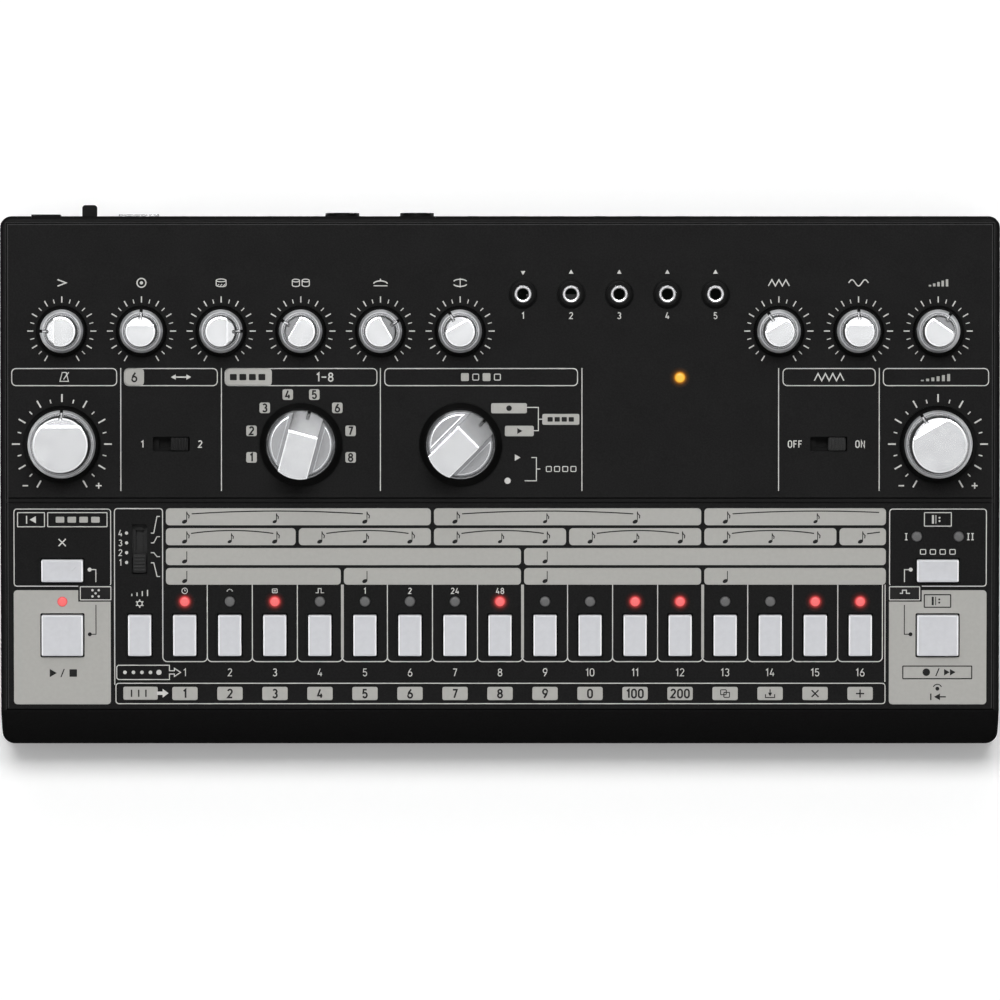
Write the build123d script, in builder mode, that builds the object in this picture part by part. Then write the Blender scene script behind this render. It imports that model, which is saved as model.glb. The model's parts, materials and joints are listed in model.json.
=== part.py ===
from build123d import *
from dataclasses import dataclass
from math import cos, radians, sin, tan
import os

# Table-top drum machine. Millimetres, +X right, +Y to the rear, +Z up, seen by
# the player from the front. The origin is the middle of the bounding box on the
# surface that the feet stand on.

# --- Case ---------------------------------------------------------------------------
WIDTH = 305.0             # side to side
BODY_DEPTH = 161.3        # front lip to rear wall
LEVER_REACH = 4.0         # power lever beyond the rear wall
FOOT_HEIGHT = 2.5
SEAM_Z = 12.0             # where the two shells meet
FOLD_Z = 40.8             # top of the case where the two panels meet
UPPER_TILT = 2.0          # degrees, control panel
LOWER_TILT = 4.5          # degrees, step panel
WALL = 2.5
FLOOR = 2.2
CORNER_RADIUS = 3.5       # case corners seen from above
RIM_ROUND = 1.3           # outer edge of the rim
FRONT_LIP_Z = 17.2        # foot of the sloping nose
FRONT_LIP_FACE = 2.2      # upright face under the nose
NOSE_BULGE = 1.5          # how far the nose stands out from a flat slope
UNDERCUT = 3.0            # how far the case front steps back at the underside

# --- Panels -------------------------------------------------------------------------
PLATE = 1.6               # thickness of both panels
SIDE_RIM = 1.84           # case rim beside the panels
REAR_RIM = 2.05
FOLD_FROM_FRONT = 74.62   # front lip to the fold
STEP_PANEL_END = 64.1     # fold to the front edge of the step panel
FOLD_GROOVE = 1.34        # groove between the panels
GROOVE_DEPTH = 0.7
PLATE_BEVEL = 0.3
PLATE_GAP = 0.15          # panel edge to its recess
LEDGE = 4.0               # width of the ledge that carries a panel
LEDGE_THICK = 2.4

# --- Layout: X from the middle, rows measured from the fold -------------------------
END_COLUMN = WIDTH / 2 - 18.85
SMALL_PITCH = 24.3
SMALL_ROW = 51.7
LARGE_ROW = 17.2
INSTRUMENT_X = -60.7
MODE_X = -12.0
SLIDE_X = 100.3
JACK_ROW = 63.0
FIRST_JACK_X = 7.0
PANEL_JACK_PITCH = 14.68
STATUS_LED = (54.9, 37.5)
STEP_PITCH = 13.755
STEP_COUNT = 16
STEP_ROW = 41.3
STEP_LED_ROW = 31.0
CLEAR_ROW = 21.5
PATTERN_LED_ROW = 11.1
PATTERN_LED_SPREAD = 6.4
SCALE_ROW = 14.9

# --- Boards and fastenings ----------------------------------------------------------
BOARD = 1.6
UPPER_BOARD_DROP = 9.5    # control panel's face to its board
LOWER_BOARD_DROP = 9.2    # step panel's face to its board
BOARD_MARGIN = 10.5       # case side to board edge
REAR_BOARD_Z = 12.5       # top of the board behind the rear sockets
STUD_RADIUS = 2.5
SCREW_RADIUS = 1.45
SCREW_FIT = 0.05
SCREW_HEAD_RADIUS = 2.7
SCREW_HEAD = 1.8

# --- Knobs --------------------------------------------------------------------------
SPINDLE_RADIUS = 3.0
SPINDLE_FIT = 0.05        # running clearance in a bearing
PRESS_FIT = 0.02          # spindle in its knob
KNOB_LIFT = 0.8           # panel to the underside of a knob
SPINDLE_TOP = 10.0
POT_BODY = (9.7, 11.0, 6.8)
ROTARY_BODY = (16.0, 16.0, 6.8)
COLLAR_RADIUS = 4.2
SPINDLE_HOLE = 4.6        # radius of a spindle's hole in the panel

# --- Keys ---------------------------------------------------------------------------
STEP_KEY = (7.2, 12.7)
SQUARE_KEY = (12.7, 12.7)
WIDE_KEY = (12.76, 6.9)
KEY_PROUD = 1.8
KEY_TRAVEL = 1.0
KEY_GAP = 0.4             # key to the edge of its hole
KEY_CORNER = 0.45
KEY_BEVEL = 0.4
KEY_FLANGE = 0.8          # flange under the panel, and its thickness
KEY_STEM_RADIUS = 2.0
SWITCH_BODY = (6.0, 6.0, 3.5)
PLUNGER_RADIUS = 1.5
PLUNGER_DEPTH = 1.5       # how deep a free plunger stands in its switch

# --- Lamps --------------------------------------------------------------------------
LED_RADIUS = 1.55
LED_GAP = 0.1
LED_PROUD = 0.5
LED_LEAD = 0.5

# --- Slide switches -----------------------------------------------------------------
SLIDE_SLOT = (11.3, 4.5)
SLIDE_CAP = (5.3, 4.0)
SLIDE_TRAVEL = 5.0
SCALE_SLOT = (4.7, 15.3)
SCALE_CAP = (3.94, 5.7)
SCALE_TRAVEL = 8.7        # four positions, 2.9 apart
SLIDE_CAP_PROUD = 0.7
SLIDE_STEM = 2.0
SLIDE_BODY_DROP = 3.4     # panel's face to the top of a slide switch
SLIDE_STEM_DEPTH = 1.5    # stem inside the switch
SLIDE_CLEAR = 0.3

# --- Rear sockets, X as seen from the front -----------------------------------------
DC_X, DC_Z = -139.3, 19.5
POWER_X, POWER_Z = -126.0, 18.5
USB_X, USB_Z = -110.7, 18.8
MIDI_XS, MIDI_Z = (-91.5, -70.0), 23.5
OUTPUT_XS, OUTPUT_Z = (-48.4, -25.5), 20.5
MINI_FIRST_X, MINI_PITCH, MINI_COUNT, MINI_Z = -7.8, 12.73, 6, 18.0
JACK_BODY = (9.0, 10.5)
JACK_BODY_DROP = 2.6      # panel's face to the top of a jack's body
JACK_BUSH_RADIUS = 2.8
JACK_PROUD = 1.9
JACK_NUT_RADIUS = 4.28
JACK_NUT = 1.4
MINI_BORE = 1.8           # radius, for a 3.5 mm plug
LARGE_BORE = 3.25         # radius, for a 6.35 mm plug
PLUG_HOLE_GAP = 0.8       # plug tip to its hole in the board
SOCKET_GAP = 0.15         # socket nose to its hole
DC_BORE, DC_PIN, DC_DEPTH, DC_PROUD = 3.1, 1.0, 9.5, 1.0
DC_PIN_RECESS = 1.0       # mouth of the inlet to the end of its pin
USB_MOUTH, USB_TONGUE, USB_DEPTH, USB_PROUD = (8.5, 7.8), (5.6, 3.2), 9.0, 1.1
MIDI_CORE, MIDI_PIN_RING, MIDI_PIN, MIDI_DEPTH = 5.6, 3.8, 0.8, 8.0
OUTPUT_DEPTH, OUTPUT_NUT, OUTPUT_NUT_RADIUS = 29.0, 1.5, 5.2
MINI_DEPTH, MINI_PROUD, MINI_LENGTH = 14.0, 0.6, 14.5
OUTPUT_NOSE_RADIUS = 4.5
MINI_NOSE_RADIUS = 2.5
MIDI_NOSE_RADIUS = 7.5
DC_NOSE = (8.9, 10.4)
USB_NOSE = (12.4, 11.0)
POWER_LEVER = (4.5, 3.4)
POWER_TRAVEL = 4.0

FRONT_Y = -(BODY_DEPTH + LEVER_REACH) / 2
REAR_Y = FRONT_Y + BODY_DEPTH
FOLD_Y = FRONT_Y + FOLD_FROM_FRONT
REAR_WALL_Y = REAR_Y - WALL
BOARD_WIDTH = WIDTH - 2 * BOARD_MARGIN
PANEL_WIDTH = WIDTH - 2 * SIDE_RIM


def tilted_plane(tilt):
    """A panel's face: x to the right, y up the slope from the fold, z out of it."""
    normal = (0, -sin(radians(tilt)), cos(radians(tilt)))
    return Plane(origin=(0, FOLD_Y, FOLD_Z), x_dir=(1, 0, 0), z_dir=normal)


UPPER = tilted_plane(UPPER_TILT)
LOWER = tilted_plane(LOWER_TILT)
CONTROL_PANEL_END = (REAR_Y - REAR_RIM - FOLD_Y) / cos(radians(UPPER_TILT))


def case_z(y, drop=0.0):
    """Height of the case's top at y, less a drop."""
    tilt = UPPER_TILT if y > FOLD_Y else LOWER_TILT
    return FOLD_Z + (y - FOLD_Y) * tan(radians(tilt)) - drop


def spot(panel, x, y, turn=0.0):
    """A plane on a panel's face at (x, y), turned clockwise as the player sees it."""
    across = panel.x_dir.rotate(Axis((0, 0, 0), panel.z_dir), -turn)
    return Plane(origin=panel.from_local_coords((x, y, 0)), x_dir=across, z_dir=panel.z_dir)


def section_plane(place):
    """The plane through a spot's axis: x is the radius, y the height."""
    return Plane(origin=place.origin, x_dir=place.x_dir, z_dir=place.y_dir * -1)


def rear_plane(x, z, y=REAR_Y):
    """A plane on the rear wall that faces out of the case."""
    return Plane(origin=(x, y, z), x_dir=(-1, 0, 0), z_dir=(0, 1, 0))


def save(node, name):
    """Label a node and write it."""
    node.label = name
    export_step(node, f"parts/{name}.step")


def group(name, *pieces):
    """One node of several solids that stay apart."""
    solids = [solid for piece in pieces for solid in piece.solids()]
    save(Compound(children=solids), name)


os.makedirs("parts", exist_ok=True)

# --- Positions ----------------------------------------------------------------------
left_knobs = [-END_COLUMN + SMALL_PITCH * i for i in range(6)]
right_knobs = [END_COLUMN - SMALL_PITCH * i for i in (2, 1, 0)]
step_columns = [STEP_PITCH * (i + 1 - STEP_COUNT / 2) for i in range(STEP_COUNT)]
function_x = step_columns[0] - STEP_PITCH
panel_jacks_x = [FIRST_JACK_X + PANEL_JACK_PITCH * i for i in range(5)]
mini_jacks_x = [MINI_FIRST_X + MINI_PITCH * i for i in range(MINI_COUNT)]
small_spots = [(x, SMALL_ROW) for x in left_knobs + right_knobs]
large_spots = [(-END_COLUMN, LARGE_ROW), (END_COLUMN, LARGE_ROW)]
selector_spots = [(INSTRUMENT_X, LARGE_ROW), (MODE_X, LARGE_ROW)]
slide_spots = [(-SLIDE_X, LARGE_ROW), (SLIDE_X, LARGE_ROW)]
jack_spots = [(x, JACK_ROW) for x in panel_jacks_x]
scale_spot = (function_x, -SCALE_ROW)
lower_leds = [(x, -STEP_LED_ROW) for x in [-END_COLUMN] + step_columns]
lower_leds += [(END_COLUMN + side * PATTERN_LED_SPREAD, -PATTERN_LED_ROW) for side in (-1, 1)]

keys = {"function_button": (function_x, -STEP_ROW, STEP_KEY)}
for number, column in enumerate(step_columns, 1):
    keys[f"step_button_{number:02d}"] = (column, -STEP_ROW, STEP_KEY)
keys["start_stop_button"] = (-END_COLUMN, -STEP_ROW, SQUARE_KEY)
keys["write_next_button"] = (END_COLUMN, -STEP_ROW, SQUARE_KEY)
keys["clear_button"] = (-END_COLUMN, -CLEAR_ROW, WIDE_KEY)
keys["pattern_group_button"] = (END_COLUMN, -CLEAR_ROW, WIDE_KEY)

# Studs under the panels carry the boards, pillars in the case carry the rear one.
STUD_COLUMN = BOARD_WIDTH / 2 - 4.0
upper_studs = [(x, y) for x in (-STUD_COLUMN, -36.0, 84.0, STUD_COLUMN) for y in (33.0, 66.5)]
lower_studs = [(x, -y) for x in (-118.5, -41.3, 41.3, 118.5) for y in (8.0, 56.0)]
REAR_BOARD = (-BOARD_WIDTH / 2, 72.0, REAR_Y - 34.5, REAR_WALL_Y - 0.3)
REAR_BOARD_X = (REAR_BOARD[0] + REAR_BOARD[1]) / 2
REAR_BOARD_Y = (REAR_BOARD[2] + REAR_BOARD[3]) / 2
rear_pillars = [
    (REAR_BOARD[0] + 4.0, REAR_BOARD[2] + 4.0),
    (-62.0, REAR_BOARD[2] + 4.0),
    (REAR_BOARD[1] - 4.0, REAR_BOARD[2] + 4.0),
    (REAR_BOARD[1] - 4.0, REAR_BOARD[3] - 4.0),
]
CASE_SCREW_X = WIDTH / 2 - 5.8
case_screw_rows = (REAR_Y - 22.0, FOLD_Y + 3.0, FRONT_Y + 18.0)
case_screws = [(x, y) for x in (-CASE_SCREW_X, CASE_SCREW_X) for y in case_screw_rows]
CASE_BOSS_RADIUS = 4.0
CASE_SCREW_LENGTH = 14.0
CASE_HEAD_RECESS = 3.0
LIP = 1.5                 # locating lip of the bottom shell
LIP_GAP = 0.2

# Side views of the case: nose, lip and undercut run from the step panel to the floor.
nose_top = FOLD_Y - STEP_PANEL_END * cos(radians(LOWER_TILT)) - 0.4
seam_front = FRONT_Y + 0.8


def top_outline(inner):
    """Side view of the top shell, or of the space inside it."""
    wall = WALL if inner else 0.0
    drop = PLATE + LEDGE_THICK if inner else 0.0
    top_front = nose_top + (1.0 if inner else 0.0)
    lip = FRONT_Y + wall
    with BuildLine() as side:
        Polyline(
            (lip, FRONT_LIP_Z - wall / 2),
            (lip, FRONT_LIP_Z - FRONT_LIP_FACE),
            (seam_front + wall, SEAM_Z),
            (REAR_Y - wall, SEAM_Z),
            (REAR_Y - wall, case_z(REAR_Y - wall, drop)),
            (FOLD_Y, FOLD_Z - drop),
            (top_front, case_z(top_front, drop)),
        )
        bulge = 0.4 if inner else NOSE_BULGE
        SagittaArc((top_front, case_z(top_front, drop)), (lip, FRONT_LIP_Z - wall / 2), -bulge)
    return side.line


# --- Top shell ----------------------------------------------------------------------
def on_rim(edge):
    """True for the outer edges round the sides and rear of the case's top."""
    middle = edge.center()
    beside = abs(middle.X) > WIDTH / 2 - CORNER_RADIUS or middle.Y > REAR_Y - CORNER_RADIUS
    return beside and abs(middle.Z - case_z(middle.Y)) < 0.5


def panel_sketch(panel, near, far, grow=0.0):
    """A panel's outline between two rows, grown or shrunk all round."""
    middle = (near + far) / 2
    with BuildSketch(panel) as outline:
        with Locations((0, middle)):
            Rectangle(PANEL_WIDTH + 2 * grow, far - near + 2 * grow)
    return outline.sketch


panel_spans = [
    (UPPER, FOLD_GROOVE / 2, CONTROL_PANEL_END),
    (LOWER, -STEP_PANEL_END, -FOLD_GROOVE / 2),
]

with BuildPart() as top_shell:
    with BuildSketch(Plane.YZ):
        add(top_outline(inner=False))
        make_face()
    extrude(amount=WIDTH / 2, both=True)
    with BuildSketch(Plane.XY):
        with Locations((0, (FRONT_Y + REAR_Y) / 2)):
            RectangleRounded(WIDTH, BODY_DEPTH, CORNER_RADIUS)
    extrude(amount=3 * FOLD_Z, mode=Mode.INTERSECT)
    fillet(top_shell.edges().filter_by(on_rim), RIM_ROUND)
    lip_edges = top_shell.edges().filter_by(Axis.X).group_by(Axis.Y)[0]
    fillet(lip_edges, RIM_ROUND - 0.3)
    with BuildSketch(Plane.YZ):
        add(top_outline(inner=True))
        make_face()
    extrude(amount=WIDTH / 2 - WALL, both=True, mode=Mode.SUBTRACT)
    for panel, near, far in panel_spans:
        extrude(
            panel_sketch(panel.offset(-PLATE), near, far, PLATE_GAP),
            amount=4 * PLATE, dir=panel.z_dir, mode=Mode.SUBTRACT,
        )
        extrude(
            panel_sketch(panel.offset(-PLATE), near, far, -LEDGE),
            amount=3 * LEDGE_THICK, dir=panel.z_dir * -1, mode=Mode.SUBTRACT,
        )
    with BuildSketch(UPPER.offset(-PLATE)):
        Rectangle(PANEL_WIDTH + 1, FOLD_GROOVE - 2 * PLATE_GAP)
    extrude(amount=PLATE - GROOVE_DEPTH, dir=UPPER.z_dir)
    for x, y in case_screws:
        with BuildSketch(Plane.XY.offset(SEAM_Z)):
            with Locations((x, y)):
                Circle(CASE_BOSS_RADIUS)
        extrude(amount=case_z(y, PLATE + LEDGE_THICK / 2) - SEAM_Z)
    with BuildSketch(Plane.XY.offset(SEAM_Z)):
        with Locations(*case_screws):
            Circle(SCREW_RADIUS + SCREW_FIT)
    extrude(amount=CASE_SCREW_LENGTH, mode=Mode.SUBTRACT)
    # Openings in the rear wall, cut from outside.
    rear_cut = WALL + 1.0
    with BuildSketch(rear_plane(0, 0, REAR_Y + 0.5)):
        with Locations(*[(-x, OUTPUT_Z) for x in OUTPUT_XS]):
            Circle(OUTPUT_NOSE_RADIUS + SOCKET_GAP)
        with Locations(*[(-x, MINI_Z) for x in mini_jacks_x]):
            Circle(MINI_NOSE_RADIUS + SOCKET_GAP)
        with Locations(*[(-x, MIDI_Z) for x in MIDI_XS]):
            Circle(MIDI_NOSE_RADIUS + SOCKET_GAP)
        with Locations((-DC_X, DC_Z)):
            RectangleRounded(DC_NOSE[0] + 2 * SOCKET_GAP, DC_NOSE[1] + 2 * SOCKET_GAP, 1.0)
        with Locations((-USB_X, USB_Z)):
            RectangleRounded(USB_NOSE[0] + 2 * SOCKET_GAP, USB_NOSE[1] + 2 * SOCKET_GAP, 0.8)
        with Locations((-POWER_X - POWER_TRAVEL / 2, POWER_Z)):
            Rectangle(POWER_LEVER[0] + POWER_TRAVEL + 2 * SLIDE_CLEAR, POWER_LEVER[1] + 2 * SLIDE_CLEAR)
    extrude(amount=-rear_cut, mode=Mode.SUBTRACT)
save(top_shell.part, "top_shell")

# --- Bottom shell -------------------------------------------------------------------
underside_front = FRONT_Y + UNDERCUT
with BuildPart() as bottom_shell:
    with BuildSketch(Plane.YZ):
        with BuildLine():
            Polyline(
                (seam_front, SEAM_Z),
                (underside_front, FOOT_HEIGHT),
                (REAR_Y, FOOT_HEIGHT),
                (REAR_Y, SEAM_Z),
                close=True,
            )
        make_face()
    extrude(amount=WIDTH / 2, both=True)
    with BuildSketch(Plane.XY):
        with Locations((0, (FRONT_Y + REAR_Y) / 2)):
            RectangleRounded(WIDTH, BODY_DEPTH, CORNER_RADIUS)
    extrude(amount=FOLD_Z, mode=Mode.INTERSECT)
    underside = bottom_shell.faces().sort_by(Axis.Z)[0]
    chamfer(underside.edges().filter_by(lambda edge: edge.center().Y > FRONT_Y + 10), RIM_ROUND)
    hollow_depth = BODY_DEPTH - 2 * WALL - UNDERCUT
    hollow_y = REAR_Y - WALL - hollow_depth / 2
    with BuildSketch(Plane.XY.offset(FOOT_HEIGHT + FLOOR)):
        with Locations((0, hollow_y)):
            Rectangle(WIDTH - 2 * WALL, hollow_depth)
    extrude(amount=SEAM_Z, mode=Mode.SUBTRACT)
    # A lip stands up inside the top shell's front and sides, and leaves the rear to the sockets.
    with BuildSketch(Plane.XY.offset(FOOT_HEIGHT + FLOOR)):
        with Locations((0, hollow_y)):
            Rectangle(WIDTH - 2 * WALL - 2 * LIP_GAP, hollow_depth - 2 * LIP_GAP)
        with Locations((0, hollow_y + WALL)):
            Rectangle(WIDTH - 4 * WALL, hollow_depth, mode=Mode.SUBTRACT)
    extrude(amount=SEAM_Z + LIP - FOOT_HEIGHT - FLOOR)
    with BuildSketch(Plane.XY.offset(SEAM_Z)):
        with Locations(*case_screws):
            Circle(CASE_BOSS_RADIUS + LIP_GAP)
    extrude(amount=LIP, mode=Mode.SUBTRACT)
    with BuildSketch(Plane.XY.offset(FOOT_HEIGHT)):
        with Locations(*case_screws):
            Circle(CASE_BOSS_RADIUS)
    extrude(amount=SEAM_Z - FOOT_HEIGHT)
    with BuildSketch(Plane.XY.offset(FOOT_HEIGHT)):
        with Locations(*rear_pillars):
            Circle(STUD_RADIUS + 0.5)
    extrude(amount=REAR_BOARD_Z - BOARD - FOOT_HEIGHT)
    with Locations(*[(x, y, FOOT_HEIGHT) for x, y in case_screws]):
        Cylinder(SCREW_RADIUS + SCREW_FIT, SEAM_Z, mode=Mode.SUBTRACT,
                 align=(Align.CENTER, Align.CENTER, Align.MIN))
        Cylinder(SCREW_HEAD_RADIUS + 0.3, CASE_HEAD_RECESS, mode=Mode.SUBTRACT,
                 align=(Align.CENTER, Align.CENTER, Align.MIN))
    with Locations(*[(x, y, REAR_BOARD_Z - BOARD) for x, y in rear_pillars]):
        Cylinder(SCREW_RADIUS + SCREW_FIT, 4.0, mode=Mode.SUBTRACT,
                 align=(Align.CENTER, Align.CENTER, Align.MAX))
save(bottom_shell.part, "bottom_shell")

# --- Feet ---------------------------------------------------------------------------
FOOT_RADIUS = 6.5
foot_spots = [(x, y) for x in (-WIDTH / 2 + 22, WIDTH / 2 - 22) for y in (FRONT_Y + 17, REAR_Y - 14)]
with BuildPart() as feet:
    with BuildSketch():
        with Locations(*foot_spots):
            Circle(FOOT_RADIUS)
    extrude(amount=FOOT_HEIGHT)
    chamfer(feet.faces().group_by(Axis.Z)[0].edges(), 0.5)
save(feet.part, "feet")


# --- Panels -------------------------------------------------------------------------
def panel_plate(panel, near, far, studs, board_drop):
    """A panel with its studs, before its holes are cut."""
    with BuildPart() as plate:
        extrude(panel_sketch(panel.offset(-PLATE), near, far), amount=PLATE, dir=panel.z_dir)
        top = plate.faces().sort_by(Axis(panel.origin, panel.z_dir))[-1]
        chamfer(top.edges(), PLATE_BEVEL)
        with BuildSketch(panel.offset(-PLATE)):
            with Locations(*studs):
                Circle(STUD_RADIUS)
        extrude(amount=PLATE - board_drop)
        with BuildSketch(panel.offset(-board_drop)):
            with Locations(*studs):
                Circle(SCREW_RADIUS + SCREW_FIT)
        extrude(amount=board_drop - PLATE - 0.8, mode=Mode.SUBTRACT)
    return plate.part



with BuildPart() as control_panel:
    add(panel_plate(UPPER, FOLD_GROOVE / 2, CONTROL_PANEL_END, upper_studs, UPPER_BOARD_DROP))
    with BuildSketch(UPPER):
        with Locations(*small_spots, *large_spots, *selector_spots):
            Circle(SPINDLE_HOLE)
        with Locations(*jack_spots):
            Circle(JACK_BUSH_RADIUS + SOCKET_GAP)
        with Locations(STATUS_LED):
            Circle(LED_RADIUS + LED_GAP)
        with Locations(*slide_spots):
            RectangleRounded(*SLIDE_SLOT, KEY_CORNER)
    extrude(amount=-PLATE, mode=Mode.SUBTRACT)
save(control_panel.part, "control_panel")

with BuildPart() as step_panel:
    add(panel_plate(LOWER, -STEP_PANEL_END, -FOLD_GROOVE / 2, lower_studs, LOWER_BOARD_DROP))
    with BuildSketch(LOWER):
        for x, y, (across, along) in keys.values():
            with Locations((x, y)):
                RectangleRounded(across + 2 * KEY_GAP, along + 2 * KEY_GAP, KEY_CORNER)
        with Locations(*lower_leds):
            Circle(LED_RADIUS + LED_GAP)
        with Locations(scale_spot):
            RectangleRounded(*SCALE_SLOT, KEY_CORNER)
    extrude(amount=-PLATE, mode=Mode.SUBTRACT)
save(step_panel.part, "step_panel")


# --- Boards -------------------------------------------------------------------------
def panel_board(panel, near, far, drop, studs, jacks):
    """The circuit board under a panel."""
    with BuildPart() as board:
        with BuildSketch(panel.offset(-drop)):
            with Locations((0, (near + far) / 2)):
                Rectangle(BOARD_WIDTH, far - near)
            with Locations(*studs):
                Circle(SCREW_RADIUS + SOCKET_GAP, mode=Mode.SUBTRACT)
            for place in jacks:
                with Locations(place):
                    Circle(MINI_BORE + PLUG_HOLE_GAP, mode=Mode.SUBTRACT)
        extrude(amount=-BOARD)
    return board.part


save(panel_board(UPPER, 4.0, JACK_ROW + 7.0, UPPER_BOARD_DROP, upper_studs, jack_spots), "main_pcb")
save(panel_board(LOWER, 4.0 - STEP_PANEL_END, -4.5, LOWER_BOARD_DROP, lower_studs, []), "step_pcb")

with BuildPart() as rear_pcb:
    with BuildSketch(Plane.XY.offset(REAR_BOARD_Z)):
        with Locations((REAR_BOARD_X, REAR_BOARD_Y)):
            Rectangle(REAR_BOARD[1] - REAR_BOARD[0], REAR_BOARD[3] - REAR_BOARD[2])
        with Locations(*rear_pillars):
            Circle(SCREW_RADIUS + SOCKET_GAP, mode=Mode.SUBTRACT)
    extrude(amount=-BOARD)
save(rear_pcb.part, "rear_pcb")

# --- Screws -------------------------------------------------------------------------
BOARD_SCREW_DEPTH = 5.0   # how far a screw enters a stud
PILLAR_SCREW_DEPTH = 3.5
case_seat = Plane.XY.offset(FOOT_HEIGHT + CASE_HEAD_RECESS)
screw_sets = [
    (UPPER.offset(-UPPER_BOARD_DROP - BOARD), upper_studs, BOARD + BOARD_SCREW_DEPTH),
    (LOWER.offset(-LOWER_BOARD_DROP - BOARD), lower_studs, BOARD + BOARD_SCREW_DEPTH),
    (case_seat, case_screws, SEAM_Z - FOOT_HEIGHT - CASE_HEAD_RECESS + CASE_SCREW_LENGTH - 1),
    (Plane.XY.offset(REAR_BOARD_Z), rear_pillars, -BOARD - PILLAR_SCREW_DEPTH),
]
with BuildPart() as screws:
    for seat, places, shank in screw_sets:
        head = -SCREW_HEAD if shank > 0 else SCREW_HEAD
        with BuildSketch(seat):
            with Locations(*places):
                Circle(SCREW_HEAD_RADIUS)
        extrude(amount=head)
        with BuildSketch(seat):
            with Locations(*places):
                Circle(SCREW_RADIUS)
        extrude(amount=shank)
        with BuildSketch(seat.offset(head)):
            with Locations(*places):
                Rectangle(3.0, 0.7)
                Rectangle(0.7, 3.0)
        extrude(amount=-head / 2, mode=Mode.SUBTRACT)
save(screws.part, "screws")

# --- Potentiometers and rotary switches ---------------------------------------------
SPINDLE_FLOOR = 0.8       # under a spindle, in its body
SPINDLE_END_GAP = 0.3
COLLAR_HEIGHT = 0.8


def turning_control(places, body):
    """Bodies with a collar and a bearing, standing on the main board."""
    width, depth, height = body
    with BuildPart() as control:
        with BuildSketch(UPPER.offset(-UPPER_BOARD_DROP)):
            with Locations(*places):
                Rectangle(width, depth)
        extrude(amount=height)
        with BuildSketch(UPPER.offset(height - UPPER_BOARD_DROP)):
            with Locations(*places):
                Circle(COLLAR_RADIUS)
        extrude(amount=COLLAR_HEIGHT)
        with BuildSketch(UPPER.offset(SPINDLE_FLOOR - UPPER_BOARD_DROP)):
            with Locations(*places):
                Circle(SPINDLE_RADIUS + SPINDLE_FIT)
        extrude(amount=height + COLLAR_HEIGHT, mode=Mode.SUBTRACT)
    return control.part


save(turning_control(small_spots + large_spots, POT_BODY), "potentiometers")
save(turning_control(selector_spots, ROTARY_BODY), "rotary_switches")

# --- Panel jacks --------------------------------------------------------------------
with BuildPart() as jack_bodies:
    with BuildSketch(UPPER.offset(-UPPER_BOARD_DROP)):
        with Locations(*jack_spots):
            Rectangle(*JACK_BODY)
    extrude(amount=UPPER_BOARD_DROP - JACK_BODY_DROP)
    with BuildSketch(UPPER.offset(-JACK_BODY_DROP)):
        with Locations(*jack_spots):
            Circle(JACK_BUSH_RADIUS)
    extrude(amount=JACK_BODY_DROP + JACK_PROUD)
    with BuildSketch(UPPER.offset(JACK_PROUD)):
        with Locations(*jack_spots):
            Circle(MINI_BORE)
    extrude(amount=-UPPER_BOARD_DROP - JACK_PROUD, mode=Mode.SUBTRACT)
with BuildPart() as jack_nuts:
    with BuildSketch(UPPER):
        with Locations(*jack_spots):
            Circle(JACK_NUT_RADIUS)
            Circle(JACK_BUSH_RADIUS + SCREW_FIT, mode=Mode.SUBTRACT)
    extrude(amount=JACK_NUT)
group("panel_jacks", jack_bodies.part, jack_nuts.part)


# --- Slide switches -----------------------------------------------------------------
def slide_body(place, drop, across, along, slot_across, slot_along):
    """A slide switch under a panel, with the channel that its slider runs in."""
    with BuildPart() as body:
        with BuildSketch(place.offset(-drop)):
            Rectangle(across, along)
        extrude(amount=drop - SLIDE_BODY_DROP)
        with BuildSketch(place.offset(-SLIDE_BODY_DROP)):
            Rectangle(slot_across, slot_along)
        extrude(amount=-SLIDE_STEM_DEPTH - SLIDE_CLEAR, mode=Mode.SUBTRACT)
    return body.part


def slider(place, across, along, bottom):
    """A slider: a ribbed cap in the panel's slot and a stem into the switch."""
    ribs = 5
    lengthwise = along > across
    pitch = max(across, along) / (ribs + 1)
    with BuildPart() as knob:
        with BuildSketch(place.offset(-PLATE - SLIDE_CLEAR)):
            RectangleRounded(across, along, KEY_CORNER)
        extrude(amount=PLATE + SLIDE_CLEAR + SLIDE_CAP_PROUD)
        with BuildSketch(place.offset(SLIDE_CAP_PROUD)):
            for rib in range(ribs):
                shift = (rib - (ribs - 1) / 2) * pitch
                with Locations((0, shift) if lengthwise else (shift, 0)):
                    groove = (across, pitch / 2) if lengthwise else (pitch / 2, along)
                    Rectangle(*groove)
        extrude(amount=-SLIDE_CAP_PROUD / 2, mode=Mode.SUBTRACT)
        with BuildSketch(place.offset(-PLATE - SLIDE_CLEAR)):
            Rectangle(SLIDE_STEM, SLIDE_STEM)
        extrude(amount=PLATE + SLIDE_CLEAR - bottom)
    return knob.part


channel = SLIDE_STEM + 2 * SLIDE_CLEAR
stem_bottom = SLIDE_BODY_DROP + SLIDE_STEM_DEPTH
slide_places = [spot(UPPER, x, y) for x, y in slide_spots]
scale_place = spot(LOWER, *scale_spot)
bodies = [
    slide_body(place, UPPER_BOARD_DROP, SLIDE_TRAVEL + 8, 6.0, SLIDE_TRAVEL + channel, channel)
    for place in slide_places
]
scale_channel = (channel, SCALE_TRAVEL + channel)
bodies.append(slide_body(scale_place, LOWER_BOARD_DROP, 6.0, SCALE_TRAVEL + 8, *scale_channel))
group("slide_switches", *bodies)

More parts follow.
